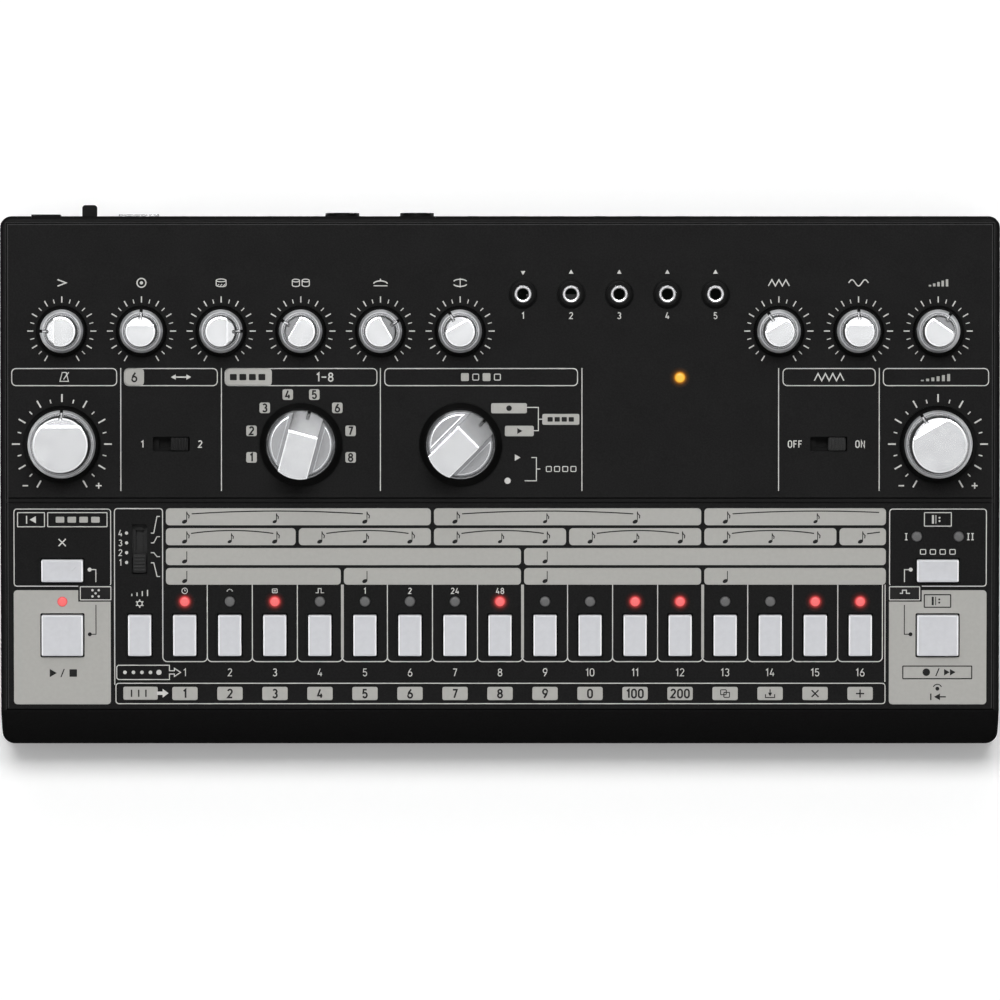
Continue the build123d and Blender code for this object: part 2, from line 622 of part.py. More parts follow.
for name, (x, y) in zip(("voice_select_slider", "distortion_slider"), slide_spots):
    save(slider(spot(UPPER, x + SLIDE_TRAVEL / 2, y), *SLIDE_CAP, stem_bottom), name)
scale_x, scale_y = scale_spot
save(slider(spot(LOWER, scale_x, scale_y - SCALE_TRAVEL / 2), *SCALE_CAP, stem_bottom), "scale_slider")

# --- Keys and their switches --------------------------------------------------------
switch_top = LOWER_BOARD_DROP - SWITCH_BODY[2]
with BuildPart() as key_switches:
    with BuildSketch(LOWER.offset(-LOWER_BOARD_DROP)):
        with Locations(*[(x, y) for x, y, _ in keys.values()]):
            Rectangle(SWITCH_BODY[0], SWITCH_BODY[1])
    extrude(amount=SWITCH_BODY[2])
    with BuildSketch(LOWER.offset(-switch_top)):
        with Locations(*[(x, y) for x, y, _ in keys.values()]):
            Circle(PLUNGER_RADIUS + SPINDLE_FIT)
    extrude(amount=-PLUNGER_DEPTH - KEY_TRAVEL - SLIDE_CLEAR, mode=Mode.SUBTRACT)
save(key_switches.part, "key_switches")


def key_cap(place, across, along):
    """A key: bevelled cap, flange under the panel and stem down to its plunger."""
    flange_top = PLATE + SLIDE_CLEAR
    stem_end = switch_top - KEY_TRAVEL - SLIDE_CLEAR
    with BuildPart() as cap:
        with BuildSketch(place.offset(-flange_top)):
            RectangleRounded(across, along, KEY_CORNER)
        extrude(amount=flange_top + KEY_PROUD)
        top = cap.faces().sort_by(Axis(place.origin, place.z_dir))[-1]
        chamfer(top.edges(), KEY_BEVEL)
        with BuildSketch(place.offset(-flange_top)):
            RectangleRounded(across + 2 * KEY_FLANGE, along + 2 * KEY_FLANGE, KEY_CORNER)
        extrude(amount=-KEY_FLANGE)
        with BuildSketch(place.offset(-flange_top - KEY_FLANGE)):
            Circle(KEY_STEM_RADIUS)
        extrude(amount=flange_top + KEY_FLANGE - stem_end)
    return cap.part


def plunger(place):
    """The switch's plunger, which stays under the key's stem."""
    stem_end = switch_top - KEY_TRAVEL - SLIDE_CLEAR
    with BuildPart() as pin:
        with BuildSketch(place.offset(-stem_end)):
            Circle(PLUNGER_RADIUS)
        extrude(amount=stem_end - switch_top - PLUNGER_DEPTH)
    return pin.part


for name, (x, y, (across, along)) in keys.items():
    place = spot(LOWER, x, y)
    group(name, key_cap(place, across, along), plunger(place))


# --- Lamps --------------------------------------------------------------------------
def lamps(panel, places, drop):
    """Round lamps through a panel, on leads from its board."""
    flange_bottom = PLATE + 1.8
    with BuildPart() as lamp:
        with BuildSketch(panel.offset(-flange_bottom)):
            with Locations(*places):
                Circle(LED_RADIUS)
        extrude(amount=flange_bottom + LED_PROUD)
        tops = lamp.faces().group_by(Axis(panel.origin, panel.z_dir))[-1]
        fillet(tops.edges(), LED_PROUD)
        with BuildSketch(panel.offset(-flange_bottom)):
            with Locations(*places):
                Circle(LED_RADIUS + 0.35)
        extrude(amount=1.0)
        with BuildSketch(panel.offset(-flange_bottom)):
            for side in (-1.27, 1.27):
                with Locations(*[(x + side, y) for x, y in places]):
                    Rectangle(LED_LEAD, LED_LEAD)
        extrude(amount=flange_bottom - drop)
    return lamp.part


group("leds", lamps(UPPER, [STATUS_LED], UPPER_BOARD_DROP), lamps(LOWER, lower_leds, LOWER_BOARD_DROP))


# --- Knobs --------------------------------------------------------------------------
@dataclass
class KnobSize:
    """Radii and heights of a knob; heights are from the panel's face."""

    skirt: float
    flange: float
    grip: float
    flange_base: float
    flange_top: float
    height: float
    flat: float           # axis to the edge of the level top
    fall: float           # how far the top has fallen at the pointer's rim


SMALL = KnobSize(7.8, 6.75, 5.1, 2.4, 3.8, 12.2, 1.9, 1.6)
LARGE = KnobSize(11.8, 10.6, 8.85, 2.6, 4.4, 14.3, 4.9, 1.4)
SELECTOR = KnobSize(12.6, 10.6, 9.5, 3.0, 6.2, 14.5, 3.6, 8.0)
SELECTOR_BAR = 9.4        # width of a selector's grip
POINTER = 0.8             # width of a knob's pointer notch
BORE = SPINDLE_RADIUS + PRESS_FIT
SKIRT_EDGE = 0.8


def skirt_ring(place, size):
    """The dark skirt under a knob's cap."""
    with BuildPart() as ring:
        with BuildSketch(section_plane(place)):
            with BuildLine():
                Polyline(
                    (BORE, KNOB_LIFT),
                    (size.skirt, KNOB_LIFT),
                    (size.skirt, KNOB_LIFT + SKIRT_EDGE),
                    (size.flange + 0.3, size.flange_base),
                    (BORE, size.flange_base),
                    close=True,
                )
            make_face()
        revolve(axis=Axis(place.origin, place.z_dir))
    return ring.part


def spindle(place):
    """The shaft from the control's bearing into the knob."""
    bottom = UPPER_BOARD_DROP - SPINDLE_FLOOR - SPINDLE_END_GAP
    with BuildPart() as shaft:
        with BuildSketch(place.offset(-bottom)):
            Circle(SPINDLE_RADIUS)
        extrude(amount=bottom + SPINDLE_TOP)
    return shaft.part


def top_slope(place, start, height, slope, reach):
    """The wedge above a top that falls towards the pointer, to be cut away."""
    side = Plane(origin=place.origin, x_dir=place.y_dir, z_dir=place.x_dir)
    with BuildPart() as wedge:
        with BuildSketch(side):
            with BuildLine():
                low = height - slope * (reach - start)
                above = height + 1
                Polyline((start, height), (reach, low), (reach, above), (start, above), close=True)
            make_face()
        extrude(amount=reach, both=True)
    return wedge.part


def round_cap(place, size):
    """A turned cap: sloping flange, upright grip and a top that falls to the pointer."""
    with BuildPart() as cap:
        with BuildSketch(section_plane(place)):
            with BuildLine():
                Polyline(
                    (BORE, size.flange_base),
                    (size.flange, size.flange_base),
                    (size.flange, size.flange_base + 0.5),
                    (size.grip + 0.35, size.flange_top),
                    (size.grip, size.flange_top),
                    (size.grip, size.height - 0.5),
                    (size.grip - 0.45, size.height),
                    (0, size.height),
                    (0, SPINDLE_TOP),
                    (BORE, SPINDLE_TOP),
                    close=True,
                )
            make_face()
        revolve(axis=Axis(place.origin, place.z_dir))
        slope = size.fall / (size.grip - size.flat)
        add(top_slope(place, size.flat, size.height, slope, size.grip + 1), mode=Mode.SUBTRACT)
        with BuildSketch(place.offset(size.flange_base)):
            with Locations((0, size.flange)):
                Rectangle(POINTER, 2 * POINTER)
        extrude(amount=size.flange_top, mode=Mode.SUBTRACT)
    return cap.part


def selector_cap(place, size):
    """A disc with a grip across it, which slopes down to its pointer."""
    with BuildPart() as cap:
        with BuildSketch(section_plane(place)):
            with BuildLine():
                Polyline(
                    (BORE, size.flange_base),
                    (size.flange, size.flange_base),
                    (size.flange, size.flange_base + 1.4),
                    (size.grip, size.flange_top),
                    (BORE, size.flange_top),
                    close=True,
                )
            make_face()
        revolve(axis=Axis(place.origin, place.z_dir))
        with BuildSketch(place.offset(size.flange_base + 1.4)):
            Circle(size.flange)
            Rectangle(SELECTOR_BAR, 3 * size.flange, mode=Mode.INTERSECT)
            Circle(BORE, mode=Mode.SUBTRACT)
        extrude(amount=SPINDLE_TOP - size.flange_base - 1.4)
        with BuildSketch(place.offset(SPINDLE_TOP)):
            Circle(size.flange)
            Rectangle(SELECTOR_BAR, 3 * size.flange, mode=Mode.INTERSECT)
        extrude(amount=size.height - SPINDLE_TOP)
        slope = size.fall / (size.flange - size.flat)
        add(top_slope(place, size.flat, size.height, slope, size.flange + 1), mode=Mode.SUBTRACT)
        with BuildSketch(place.offset(size.flange_base)):
            with Locations((0, size.flange)):
                Rectangle(POINTER, 2 * POINTER)
        extrude(amount=size.height, mode=Mode.SUBTRACT)
    return cap.part


# Where each knob's pointer stands, in degrees clockwise from straight back.
small_names = [
    ("accent_knob", -90), ("bass_drum_knob", 0), ("snare_drum_knob", 90),
    ("low_high_tom_knob", -60), ("cymbal_clap_knob", 60), ("hi_hat_knob", -30),
    ("distortion_knob", -30), ("tone_knob", 0), ("level_knob", 35),
]
knobs = [(name, x, y, turn, SMALL) for (name, turn), (x, y) in zip(small_names, small_spots)]
knobs.append(("tempo_knob", *large_spots[0], 0, LARGE))
knobs.append(("volume_knob", *large_spots[1], -30, LARGE))
knobs.append(("instrument_selector_knob", *selector_spots[0], 15, SELECTOR))
knobs.append(("mode_selector_knob", *selector_spots[1], 45, SELECTOR))

for name, x, y, turn, size in knobs:
    place = spot(UPPER, x, y, turn)
    cap = selector_cap(place, size) if size is SELECTOR else round_cap(place, size)
    group(name, skirt_ring(place, size), cap, spindle(place))


# --- Rear sockets -------------------------------------------------------------------
def board_body(xs, width, depth, top):
    """Socket bodies that stand on the rear board against the rear wall."""
    with BuildPart() as body:
        with BuildSketch(Plane.XY.offset(REAR_BOARD_Z)):
            with Locations(*[(x, REAR_WALL_Y - depth / 2) for x in xs]):
                Rectangle(width, depth)
        extrude(amount=top - REAR_BOARD_Z)
    return body.part


with BuildPart() as dc_housing:
    add(board_body([DC_X], DC_NOSE[0], 13.0, DC_Z + 6.0))
    with BuildSketch(rear_plane(DC_X, DC_Z, REAR_WALL_Y)):
        RectangleRounded(*DC_NOSE, 1.0)
    extrude(amount=WALL + DC_PROUD)
    with BuildSketch(rear_plane(DC_X, DC_Z, REAR_Y + DC_PROUD)):
        Circle(DC_BORE)
    extrude(amount=-DC_DEPTH, mode=Mode.SUBTRACT)
with BuildPart() as dc_pin:
    with BuildSketch(rear_plane(DC_X, DC_Z, REAR_Y + DC_PROUD - DC_DEPTH)):
        Circle(DC_PIN)
    extrude(amount=DC_DEPTH - DC_PIN_RECESS)
group("dc_inlet", dc_housing.part, dc_pin.part)

with BuildPart() as usb_socket:
    add(board_body([USB_X], USB_NOSE[0], 12.0, USB_Z + USB_NOSE[1] / 2))
    with BuildSketch(rear_plane(USB_X, USB_Z, REAR_WALL_Y)):
        RectangleRounded(*USB_NOSE, 0.8)
    extrude(amount=WALL + USB_PROUD)
    with BuildSketch(rear_plane(USB_X, USB_Z, REAR_Y + USB_PROUD)):
        RectangleRounded(*USB_MOUTH, 0.8)
        Rectangle(*USB_TONGUE, mode=Mode.SUBTRACT)
    extrude(amount=-USB_DEPTH, mode=Mode.SUBTRACT)
save(usb_socket.part, "usb_socket")

with BuildPart() as midi_housings:
    add(board_body(MIDI_XS, 20.0, 12.5, MIDI_Z + 9.5))
    with BuildSketch(rear_plane(0, MIDI_Z, REAR_WALL_Y)):
        with Locations(*[(-x, 0) for x in MIDI_XS]):
            Circle(MIDI_NOSE_RADIUS)
    extrude(amount=WALL)
    with BuildSketch(rear_plane(0, MIDI_Z)):
        with Locations(*[(-x, 0) for x in MIDI_XS]):
            Circle(MIDI_NOSE_RADIUS - 0.8)
    extrude(amount=-MIDI_DEPTH, mode=Mode.SUBTRACT)
with BuildPart() as midi_cores:
    with BuildSketch(rear_plane(0, MIDI_Z)):
        for x in MIDI_XS:
            with Locations((-x, 0)):
                Circle(MIDI_CORE)
                with PolarLocations(MIDI_PIN_RING, 5, start_angle=180, angular_range=180):
                    Circle(MIDI_PIN, mode=Mode.SUBTRACT)
    extrude(amount=-MIDI_DEPTH)
group("midi_sockets", midi_housings.part, midi_cores.part)

with BuildPart() as output_bodies:
    add(board_body(OUTPUT_XS, 15.4, OUTPUT_DEPTH + 1.0, OUTPUT_Z + 7.5))
    with BuildSketch(rear_plane(0, OUTPUT_Z, REAR_WALL_Y)):
        with Locations(*[(-x, 0) for x in OUTPUT_XS]):
            Circle(OUTPUT_NOSE_RADIUS)
    extrude(amount=WALL + OUTPUT_NUT - 0.2)
    with BuildSketch(rear_plane(0, OUTPUT_Z, REAR_Y + OUTPUT_NUT)):
        with Locations(*[(-x, 0) for x in OUTPUT_XS]):
            Circle(LARGE_BORE)
    extrude(amount=-OUTPUT_NUT - WALL - OUTPUT_DEPTH + 0.5, mode=Mode.SUBTRACT)
with BuildPart() as output_nuts:
    with BuildSketch(rear_plane(0, OUTPUT_Z)):
        with Locations(*[(-x, 0) for x in OUTPUT_XS]):
            Circle(OUTPUT_NUT_RADIUS)
            Circle(OUTPUT_NOSE_RADIUS + SCREW_FIT, mode=Mode.SUBTRACT)
    extrude(amount=OUTPUT_NUT)
    with BuildSketch(rear_plane(0, OUTPUT_Z, REAR_Y + OUTPUT_NUT)):
        for x in OUTPUT_XS:
            with Locations((-x, 0)):
                with PolarLocations(OUTPUT_NUT_RADIUS, 8):
                    Rectangle(1.0, 1.2)
    extrude(amount=-OUTPUT_NUT / 2, mode=Mode.SUBTRACT)
group("output_jacks", output_bodies.part, output_nuts.part)

with BuildPart() as voice_jacks:
    add(board_body(mini_jacks_x, 9.0, MINI_DEPTH, MINI_Z + 5.0))
    with BuildSketch(rear_plane(0, MINI_Z, REAR_WALL_Y)):
        with Locations(*[(-x, 0) for x in mini_jacks_x]):
            Circle(MINI_NOSE_RADIUS)
    extrude(amount=WALL + MINI_PROUD)
    with BuildSketch(rear_plane(0, MINI_Z, REAR_Y + MINI_PROUD)):
        with Locations(*[(-x, 0) for x in mini_jacks_x]):
            Circle(MINI_BORE)
    extrude(amount=-MINI_LENGTH, mode=Mode.SUBTRACT)
save(voice_jacks.part, "voice_jacks")

# --- Power switch -------------------------------------------------------------------
POWER_BODY_GAP = 0.5      # switch to the inside of the rear wall
POWER_BODY = (14.0, 7.0)  # width, depth
POWER_STEM_DEPTH = 2.0    # lever inside the switch
power_mid_x = POWER_X + POWER_TRAVEL / 2
switch_face_y = REAR_WALL_Y - POWER_BODY_GAP
with BuildPart() as power_switch:
    with BuildSketch(Plane.XY.offset(REAR_BOARD_Z)):
        with Locations((power_mid_x, switch_face_y - POWER_BODY[1] / 2)):
            Rectangle(*POWER_BODY)
    extrude(amount=POWER_Z + 4.0 - REAR_BOARD_Z)
    with BuildSketch(rear_plane(power_mid_x, POWER_Z, switch_face_y)):
        Rectangle(POWER_LEVER[0] + POWER_TRAVEL + 2 * SLIDE_CLEAR, POWER_LEVER[1] + 2 * SLIDE_CLEAR)
    extrude(amount=-POWER_STEM_DEPTH - SLIDE_CLEAR, mode=Mode.SUBTRACT)
save(power_switch.part, "power_switch")

with BuildPart() as power_slider:
    with BuildSketch(rear_plane(POWER_X, POWER_Z, switch_face_y - POWER_STEM_DEPTH)):
        Rectangle(*POWER_LEVER)
    extrude(amount=POWER_STEM_DEPTH + POWER_BODY_GAP + WALL + LEVER_REACH)
    tip = power_slider.faces().sort_by(Axis.Y)[-1]
    fillet(tip.edges().filter_by(Axis.Z), 0.9)
save(power_slider.part, "power_slider")

# --- Ribbon cables ------------------------------------------------------------------
RIBBON = 0.9              # thickness
RIBBON_WIDTH = 20.0
HEADER = (24.0, 5.0, 4.0)
REAR_RIBBON = (20.0, REAR_BOARD[2] + 8.0)
STEP_RIBBON = (20.0, 9.0, -12.0)


def ribbon(x, *points, bend):
    """A flat cable hung along a route in side view, centred on x."""
    with BuildPart() as cable:
        with BuildSketch(Plane.YZ.offset(x - RIBBON_WIDTH / 2)):
            with BuildLine():
                FilletPolyline(*points, radius=bend)
            trace(line_width=RIBBON)
        extrude(amount=RIBBON_WIDTH)
    return cable.part


def hanging_header(panel, drop, x, y):
    """A socket on the underside of a panel's board."""
    with BuildPart() as header:
        with BuildSketch(panel.offset(-drop - BOARD)):
            with Locations((x, y)):
                Rectangle(HEADER[0], HEADER[1])
        extrude(amount=-HEADER[2])
    return header.part


rear_x, rear_y = REAR_RIBBON
rear_row = (rear_y - FOLD_Y) / cos(radians(UPPER_TILT))
header_z = case_z(rear_y, UPPER_BOARD_DROP + BOARD + HEADER[2] / 2)
rear_top = REAR_BOARD_Z + HEADER[2] / 2
sag = (header_z + rear_top) / 2
with BuildPart() as rear_cable:
    add(hanging_header(UPPER, UPPER_BOARD_DROP, rear_x, rear_row))
    with BuildSketch(Plane.XY.offset(REAR_BOARD_Z)):
        with Locations(REAR_RIBBON):
            Rectangle(HEADER[0], HEADER[1])
    extrude(amount=HEADER[2])
    fold = [(rear_y, sag - 3), (rear_y - 4, sag), (rear_y, sag + 3)]
    route = [(rear_y, rear_top), *fold, (rear_y, header_z)]
    add(ribbon(rear_x, *route, bend=1.2))
cable_x, near_row, far_row = STEP_RIBBON
near_y, far_y = FOLD_Y + near_row, FOLD_Y + far_row
hang_z = SEAM_Z + 5.0
with BuildPart() as step_cable:
    add(hanging_header(UPPER, UPPER_BOARD_DROP, cable_x, near_row))
    add(hanging_header(LOWER, LOWER_BOARD_DROP, cable_x, far_row))
    near_z = case_z(near_y, UPPER_BOARD_DROP + BOARD + HEADER[2] / 2)
    far_z = case_z(far_y, LOWER_BOARD_DROP + BOARD + HEADER[2] / 2)
    add(ribbon(cable_x, (near_y, near_z), (near_y, hang_z), (far_y, hang_z), (far_y, far_z), bend=7.0))
group("ribbon_cables", rear_cable.part, step_cable.part)
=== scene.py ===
"""Looks of a table-top drum machine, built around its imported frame.

Lengths are written in millimetres and turned into metres where a mesh is finished. A panel's
own coordinates are x to the right and y up its slope from the fold between the two panels.
"""

import bmesh
import bpy
import json
from collections import namedtuple
from math import atan, cos, degrees, hypot, pi, radians, sin, sqrt
from mathutils import Matrix, Vector


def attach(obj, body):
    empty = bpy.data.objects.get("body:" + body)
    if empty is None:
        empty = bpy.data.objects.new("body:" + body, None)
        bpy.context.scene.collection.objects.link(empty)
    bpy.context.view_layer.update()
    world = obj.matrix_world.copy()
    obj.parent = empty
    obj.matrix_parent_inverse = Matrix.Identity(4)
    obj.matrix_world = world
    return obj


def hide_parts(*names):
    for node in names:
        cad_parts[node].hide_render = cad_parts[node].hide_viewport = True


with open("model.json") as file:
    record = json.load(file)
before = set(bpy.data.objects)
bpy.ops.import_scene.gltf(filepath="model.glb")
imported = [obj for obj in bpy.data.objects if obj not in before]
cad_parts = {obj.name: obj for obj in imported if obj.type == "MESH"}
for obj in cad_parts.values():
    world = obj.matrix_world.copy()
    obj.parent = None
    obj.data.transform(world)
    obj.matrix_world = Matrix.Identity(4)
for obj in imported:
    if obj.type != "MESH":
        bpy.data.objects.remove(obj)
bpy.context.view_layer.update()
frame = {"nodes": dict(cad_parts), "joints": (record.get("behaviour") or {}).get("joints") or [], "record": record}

MM = 0.001

# --- Sizes that the frame shares --------------------------------------------------------
FOLD_Y = -8.03
FOLD_Z = 40.8
REAR_Y = 78.65
PLATE = 1.6
KNOB_LIFT = 0.8           # a skirt's underside above the panel
SPINDLE_RADIUS = 3.0
SPINDLE_BOTTOM = -8.4
KEY_TRAVEL = 1.0
KEY_PROUD = 1.8
SWITCH_TOP = 5.7          # below the panel's face
LENS_RADIUS = 1.55
STEP_PITCH = 13.755
STEP_COUNT = 16
END_COLUMN = 133.65
SMALL_PITCH = 24.3
SMALL_ROW = 51.7
LARGE_ROW = 17.2
INSTRUMENT_X = -60.7
MODE_X = -12.0
SLIDE_X = 100.3
JACK_ROW = 63.0
JACK_XS = [7.0 + 14.68 * i for i in range(5)]
STATUS_LED = (54.9, 37.5)
STEP_LED_ROW = -31.0
CLEAR_ROW = -21.5
STEP_ROW = -41.3
PATTERN_LED_ROW = -11.1
PATTERN_LED_SPREAD = 6.4
SCALE_ROW = -14.9
STEP_XS = [STEP_PITCH * (i + 1 - STEP_COUNT / 2) for i in range(STEP_COUNT)]
FUNCTION_X = STEP_XS[0] - STEP_PITCH
LEFT_KNOBS = [-END_COLUMN + SMALL_PITCH * i for i in range(6)]
RIGHT_KNOBS = [END_COLUMN - SMALL_PITCH * i for i in (2, 1, 0)]


def panel_matrix(normal):
    """A panel's frame in the row frame: x right, y up the slope, z out of the face."""
    up = Vector(normal).normalized()
    right = Vector((1, 0, 0))
    turn = Matrix((right, up.cross(right), up)).transposed().to_4x4()
    return Matrix.Translation(Vector((0, FOLD_Y, FOLD_Z)) * MM) @ turn


JOINTS = {joint["name"]: joint for joint in frame["joints"]}
UPPER = panel_matrix(JOINTS["tempo_turn"]["axis"])
LOWER = panel_matrix(Vector(JOINTS["start_stop_press"]["axis"]) * -1)


def place(panel, x, y, turn=0.0):
    """A spot on a panel, turned clockwise as the player sees it."""
    return panel @ Matrix.Translation(Vector((x, y, 0)) * MM) @ Matrix.Rotation(radians(-turn), 4, "Z")


# --- Materials --------------------------------------------------------------------------
def tone(level):
    """A colour from its 0 to 255 display level, or three of them, as linear RGBA."""
    levels = level if isinstance(level, tuple) else (level,) * 3
    linear = [((v / 255 + 0.055) / 1.055) ** 2.4 if v > 10 else v / 255 / 12.92 for v in levels]
    return (*linear, 1.0)


def set_stops(ramp, stops):
    """Gives a ramp node its (position, colour) stops."""
    elements = ramp.color_ramp.elements
    while len(elements) < len(stops):
        elements.new(0.5)
    for element, (position, color) in zip(elements, stops):
        element.position = position
        element.color = color


class Finish:
    """A Principled material, with the nodes that give it grain."""

    def __init__(self, name, roughness=0.5, metallic=0.0, specular=0.5):
        self.material = bpy.data.materials.new(name)
        self.material.use_nodes = True
        self.tree = self.material.node_tree
        self.shader = self.tree.nodes["Principled BSDF"]
        self.set("Roughness", roughness).set("Metallic", metallic).set("Specular IOR Level", specular)
        self.where = self.node("ShaderNodeTexCoord").outputs["Object"]

    def set(self, socket, value):
        self.shader.inputs[socket].default_value = value
        return self

    def node(self, kind, **settings):
        """A new node, with settings of its own or of the sockets that they name."""
        made = self.tree.nodes.new(kind)
        for name, value in settings.items():
            if name == "operation":
                made.operation = value
            else:
                made.inputs[name.replace("_", " ")].default_value = value
        return made

    def link(self, output, socket):
        self.tree.links.new(output, socket)

    def noise(self, size, detail=3.0, stretch=(1, 1, 1)):
        """Noise with features of about this size in millimetres."""
        mapping = self.node("ShaderNodeMapping", Scale=stretch)
        self.link(self.where, mapping.inputs["Vector"])
        noise = self.node("ShaderNodeTexNoise", Scale=1 / (size * MM), Detail=detail)
        self.link(mapping.outputs["Vector"], noise.inputs["Vector"])
        return noise.outputs["Fac"]

    def ramp(self, value, *stops):
        ramp = self.node("ShaderNodeValToRGB")
        set_stops(ramp, stops)
        self.link(value, ramp.inputs["Fac"])
        return ramp.outputs["Color"]

    def colour(self, dark, light, size, detail=3.0):
        """Colour that wanders between two tones."""
        varied = self.ramp(self.noise(size, detail), (0.35, dark), (0.65, light))
        self.link(varied, self.shader.inputs["Base Color"])
        return self

    def gloss(self, low, high, size):
        """Roughness that wanders between two values."""
        spread = self.node("ShaderNodeMapRange", From_Min=0.3, From_Max=0.7, To_Min=low, To_Max=high)
        self.link(self.noise(size), spread.inputs["Value"])
        self.link(spread.outputs["Result"], self.shader.inputs["Roughness"])
        return self

    def grain(self, size, depth, detail=2.0, stretch=(1, 1, 1)):
        """Bump of this size and depth in millimetres."""
        bump = self.node("ShaderNodeBump", Strength=1.0, Distance=depth * MM)
        self.link(self.noise(size, detail, stretch), bump.inputs["Height"])
        self.link(bump.outputs["Normal"], self.shader.inputs["Normal"])
        return self

    def radial(self, radius):
        """Distance from the piece's own axis, 0 in the middle and 1 at the radius."""
        flat = self.node("ShaderNodeVectorMath", operation="MULTIPLY")
        flat.inputs[1].default_value = (1, 1, 0)
        self.link(self.where, flat.inputs[0])
        length = self.node("ShaderNodeVectorMath", operation="LENGTH")
        self.link(flat.outputs["Vector"], length.inputs[0])
        share = self.node("ShaderNodeMath", operation="DIVIDE")
        share.inputs[1].default_value = radius * MM
        self.link(length.outputs["Value"], share.inputs[0])
        return share.outputs["Value"]


def finish(name, dark, light, size, gloss, grain=None, detail=3.0, **base):
    """A material whose colour, gloss and grain wander; sizes in millimetres."""
    made = Finish(name, **base).colour(tone(dark), tone(light), size, detail).gloss(*gloss)
    if grain:
        made.grain(*grain)
    return made.material


def ink(name, level, spread=3):
    dark = tuple(v - spread for v in level)
    return finish(name, dark, level, 1.2, (0.55, 0.7, 4), (0.2, 0.003), 4, specular=0.2)


def silver(name, level, rough=0.24):
    dark, light = [(v, v + 1, v + 3) for v in (level, level + 4)]
    return finish(name, dark, light, 4, (rough, rough + 0.03, 5), None, 1, metallic=0.9)


# A painted highlight: a thin lighter line that stands in for light caught on an edge.
def edge_line(name, level):
    return finish(name, level - 4, level + 4, 0.4, (0.42, 0.55, 6), None, 2, specular=0.1)


def slider(name, level):
    return finish(name, level, level + 5, 0.5, (0.38, 0.5, 1), (0.12, 0.003), specular=0.15)


def lamp_lit(name, core, middle, edge):
    """A lens that glows, brighter in the middle."""
    made = Finish(name, roughness=0.25, specular=0.2)
    dim_core, dim_edge = [tone(tuple(max(v * 0.25, 1) for v in level)) for level in (core, edge)]
    made.colour(dim_core, dim_edge, 0.4).set("Emission Strength", 0.9)
    stops = (0.0, tone(core)), (0.7, tone(core)), (0.86, tone(middle)), (1.0, tone(edge))
    made.link(made.ramp(made.radial(LENS_RADIUS), *stops), made.shader.inputs["Emission Color"])
    return made.material


def lamp_spill(name, level):
    """Light from a lamp on the panel round it, which fades outwards."""
    made = Finish(name, roughness=1.0, specular=0.0).set("Base Color", (0, 0, 0, 1))
    made.set("Emission Color", tone(level)).set("Emission Strength", 1.0)
    fade = made.ramp(made.radial(SPILL_RADIUS), *[(at, (share, share, share, 1)) for at, share in SPILL_FADE])
    made.link(fade, made.shader.inputs["Alpha"])
    return made.material


SPILL_RADIUS = 3.3
SPILL_FADE = ((0.5, 0.85), (0.555, 0.38), (0.6, 0.2), (0.65, 0.1), (0.74, 0.045), (0.85, 0.02), (1.0, 0.0))

# Painted light and shade: the case plastic has no sheen, so its front stays dark, while the upward rim faces get a
# slightly lighter copy that keeps a little sheen.
CASE = finish("case_plastic", 22, 25, 0.7, (0.42, 0.55, 6), (0.35, 0.012), specular=0.0)
CASE_RIM_LIT = finish("case_rim_lit", 22, 26, 0.7, (0.42, 0.55, 6), (0.35, 0.012), specular=0.05)
# Painted highlights along the case's rim and the panels' edges.
CASE_EDGE_HIGHLIGHT, PANEL_EDGE_HIGHLIGHT = edge_line("case_edge_highlight", 41), edge_line("panel_edge_highlight", 53)
PAINT = finish("panel_paint", 19, 26, 0.5, (0.5, 0.62, 9), (0.25, 0.006), 5, specular=0.07)
INKS = [ink("ink_white", (200, 199, 196)), ink("ink_grey", (171, 170, 166)), ink("ink_dark", (23, 23, 23), 2)]
SKIRT = finish("knob_skirt", 6, 8, 1.0, (0.38, 0.48, 3), (0.2, 0.002), specular=0.12)
KEY = finish(
    "key_grey", (199, 200, 204), (203, 204, 208), 1.6, (0.34, 0.42, 3), (0.15, 0.0015), specular=0.45)
KEY_EDGE_HIGHLIGHT = finish("key_edge_highlight", (247, 247, 249), (250, 250, 252), 1.6, (0.3, 0.4, 3), specular=0.3)
BLACK = finish("component_black", 12, 16, 0.8, (0.4, 0.5, 3), (0.2, 0.004), specular=0.08)
SLIDER, SLIDER_GREY = slider("slider_black", 19), slider("slider_grey", 40)
CHROME = finish(
    "jack_metal", (236, 236, 238), (245, 245, 246), 0.8, (0.16, 0.26, 0.8), (0.1, 0.001), metallic=1.0)
STEEL = finish("steel", (170, 171, 174), (188, 188, 190), 0.8, (0.3, 0.45, 0.8), (0.08, 0.002), metallic=1.0)
RUBBER = finish("foot_rubber", 22, 30, 0.6, (0.75, 0.9, 1), (0.25, 0.02), specular=0.25)
BOARD = finish("circuit_board", (18, 70, 40), (24, 84, 48), 2, (0.3, 0.4, 2), (0.4, 0.01))
RIBBON = finish("ribbon_grey", 150, 166, 1, (0.45, 0.55, 2), (1.27, 0.2, 0.0, (1, 0.02, 0.02)), specular=0.4)
RED = lamp_lit("lamp_red", (255, 119, 119), (252, 101, 104), (200, 66, 68))
AMBER = lamp_lit("lamp_amber", (255, 206, 78), (252, 184, 60), (214, 136, 44))
UNLIT = finish("lamp_unlit", 98, 105, 0.5, (0.4, 0.5, 0.5), (0.3, 0.003), specular=0.12)
RED_SPILL = lamp_spill("spill_red", (160, 64, 62))
AMBER_SPILL = lamp_spill("spill_amber", (160, 104, 44))
# The small knobs' tops take the plain silver; the large knobs' tops get a darker copy of it, as painted shade.
SILVER, SILVER_WIDE_SHADED = silver("knob_silver", 242), silver("knob_silver_wide_shaded", 229)

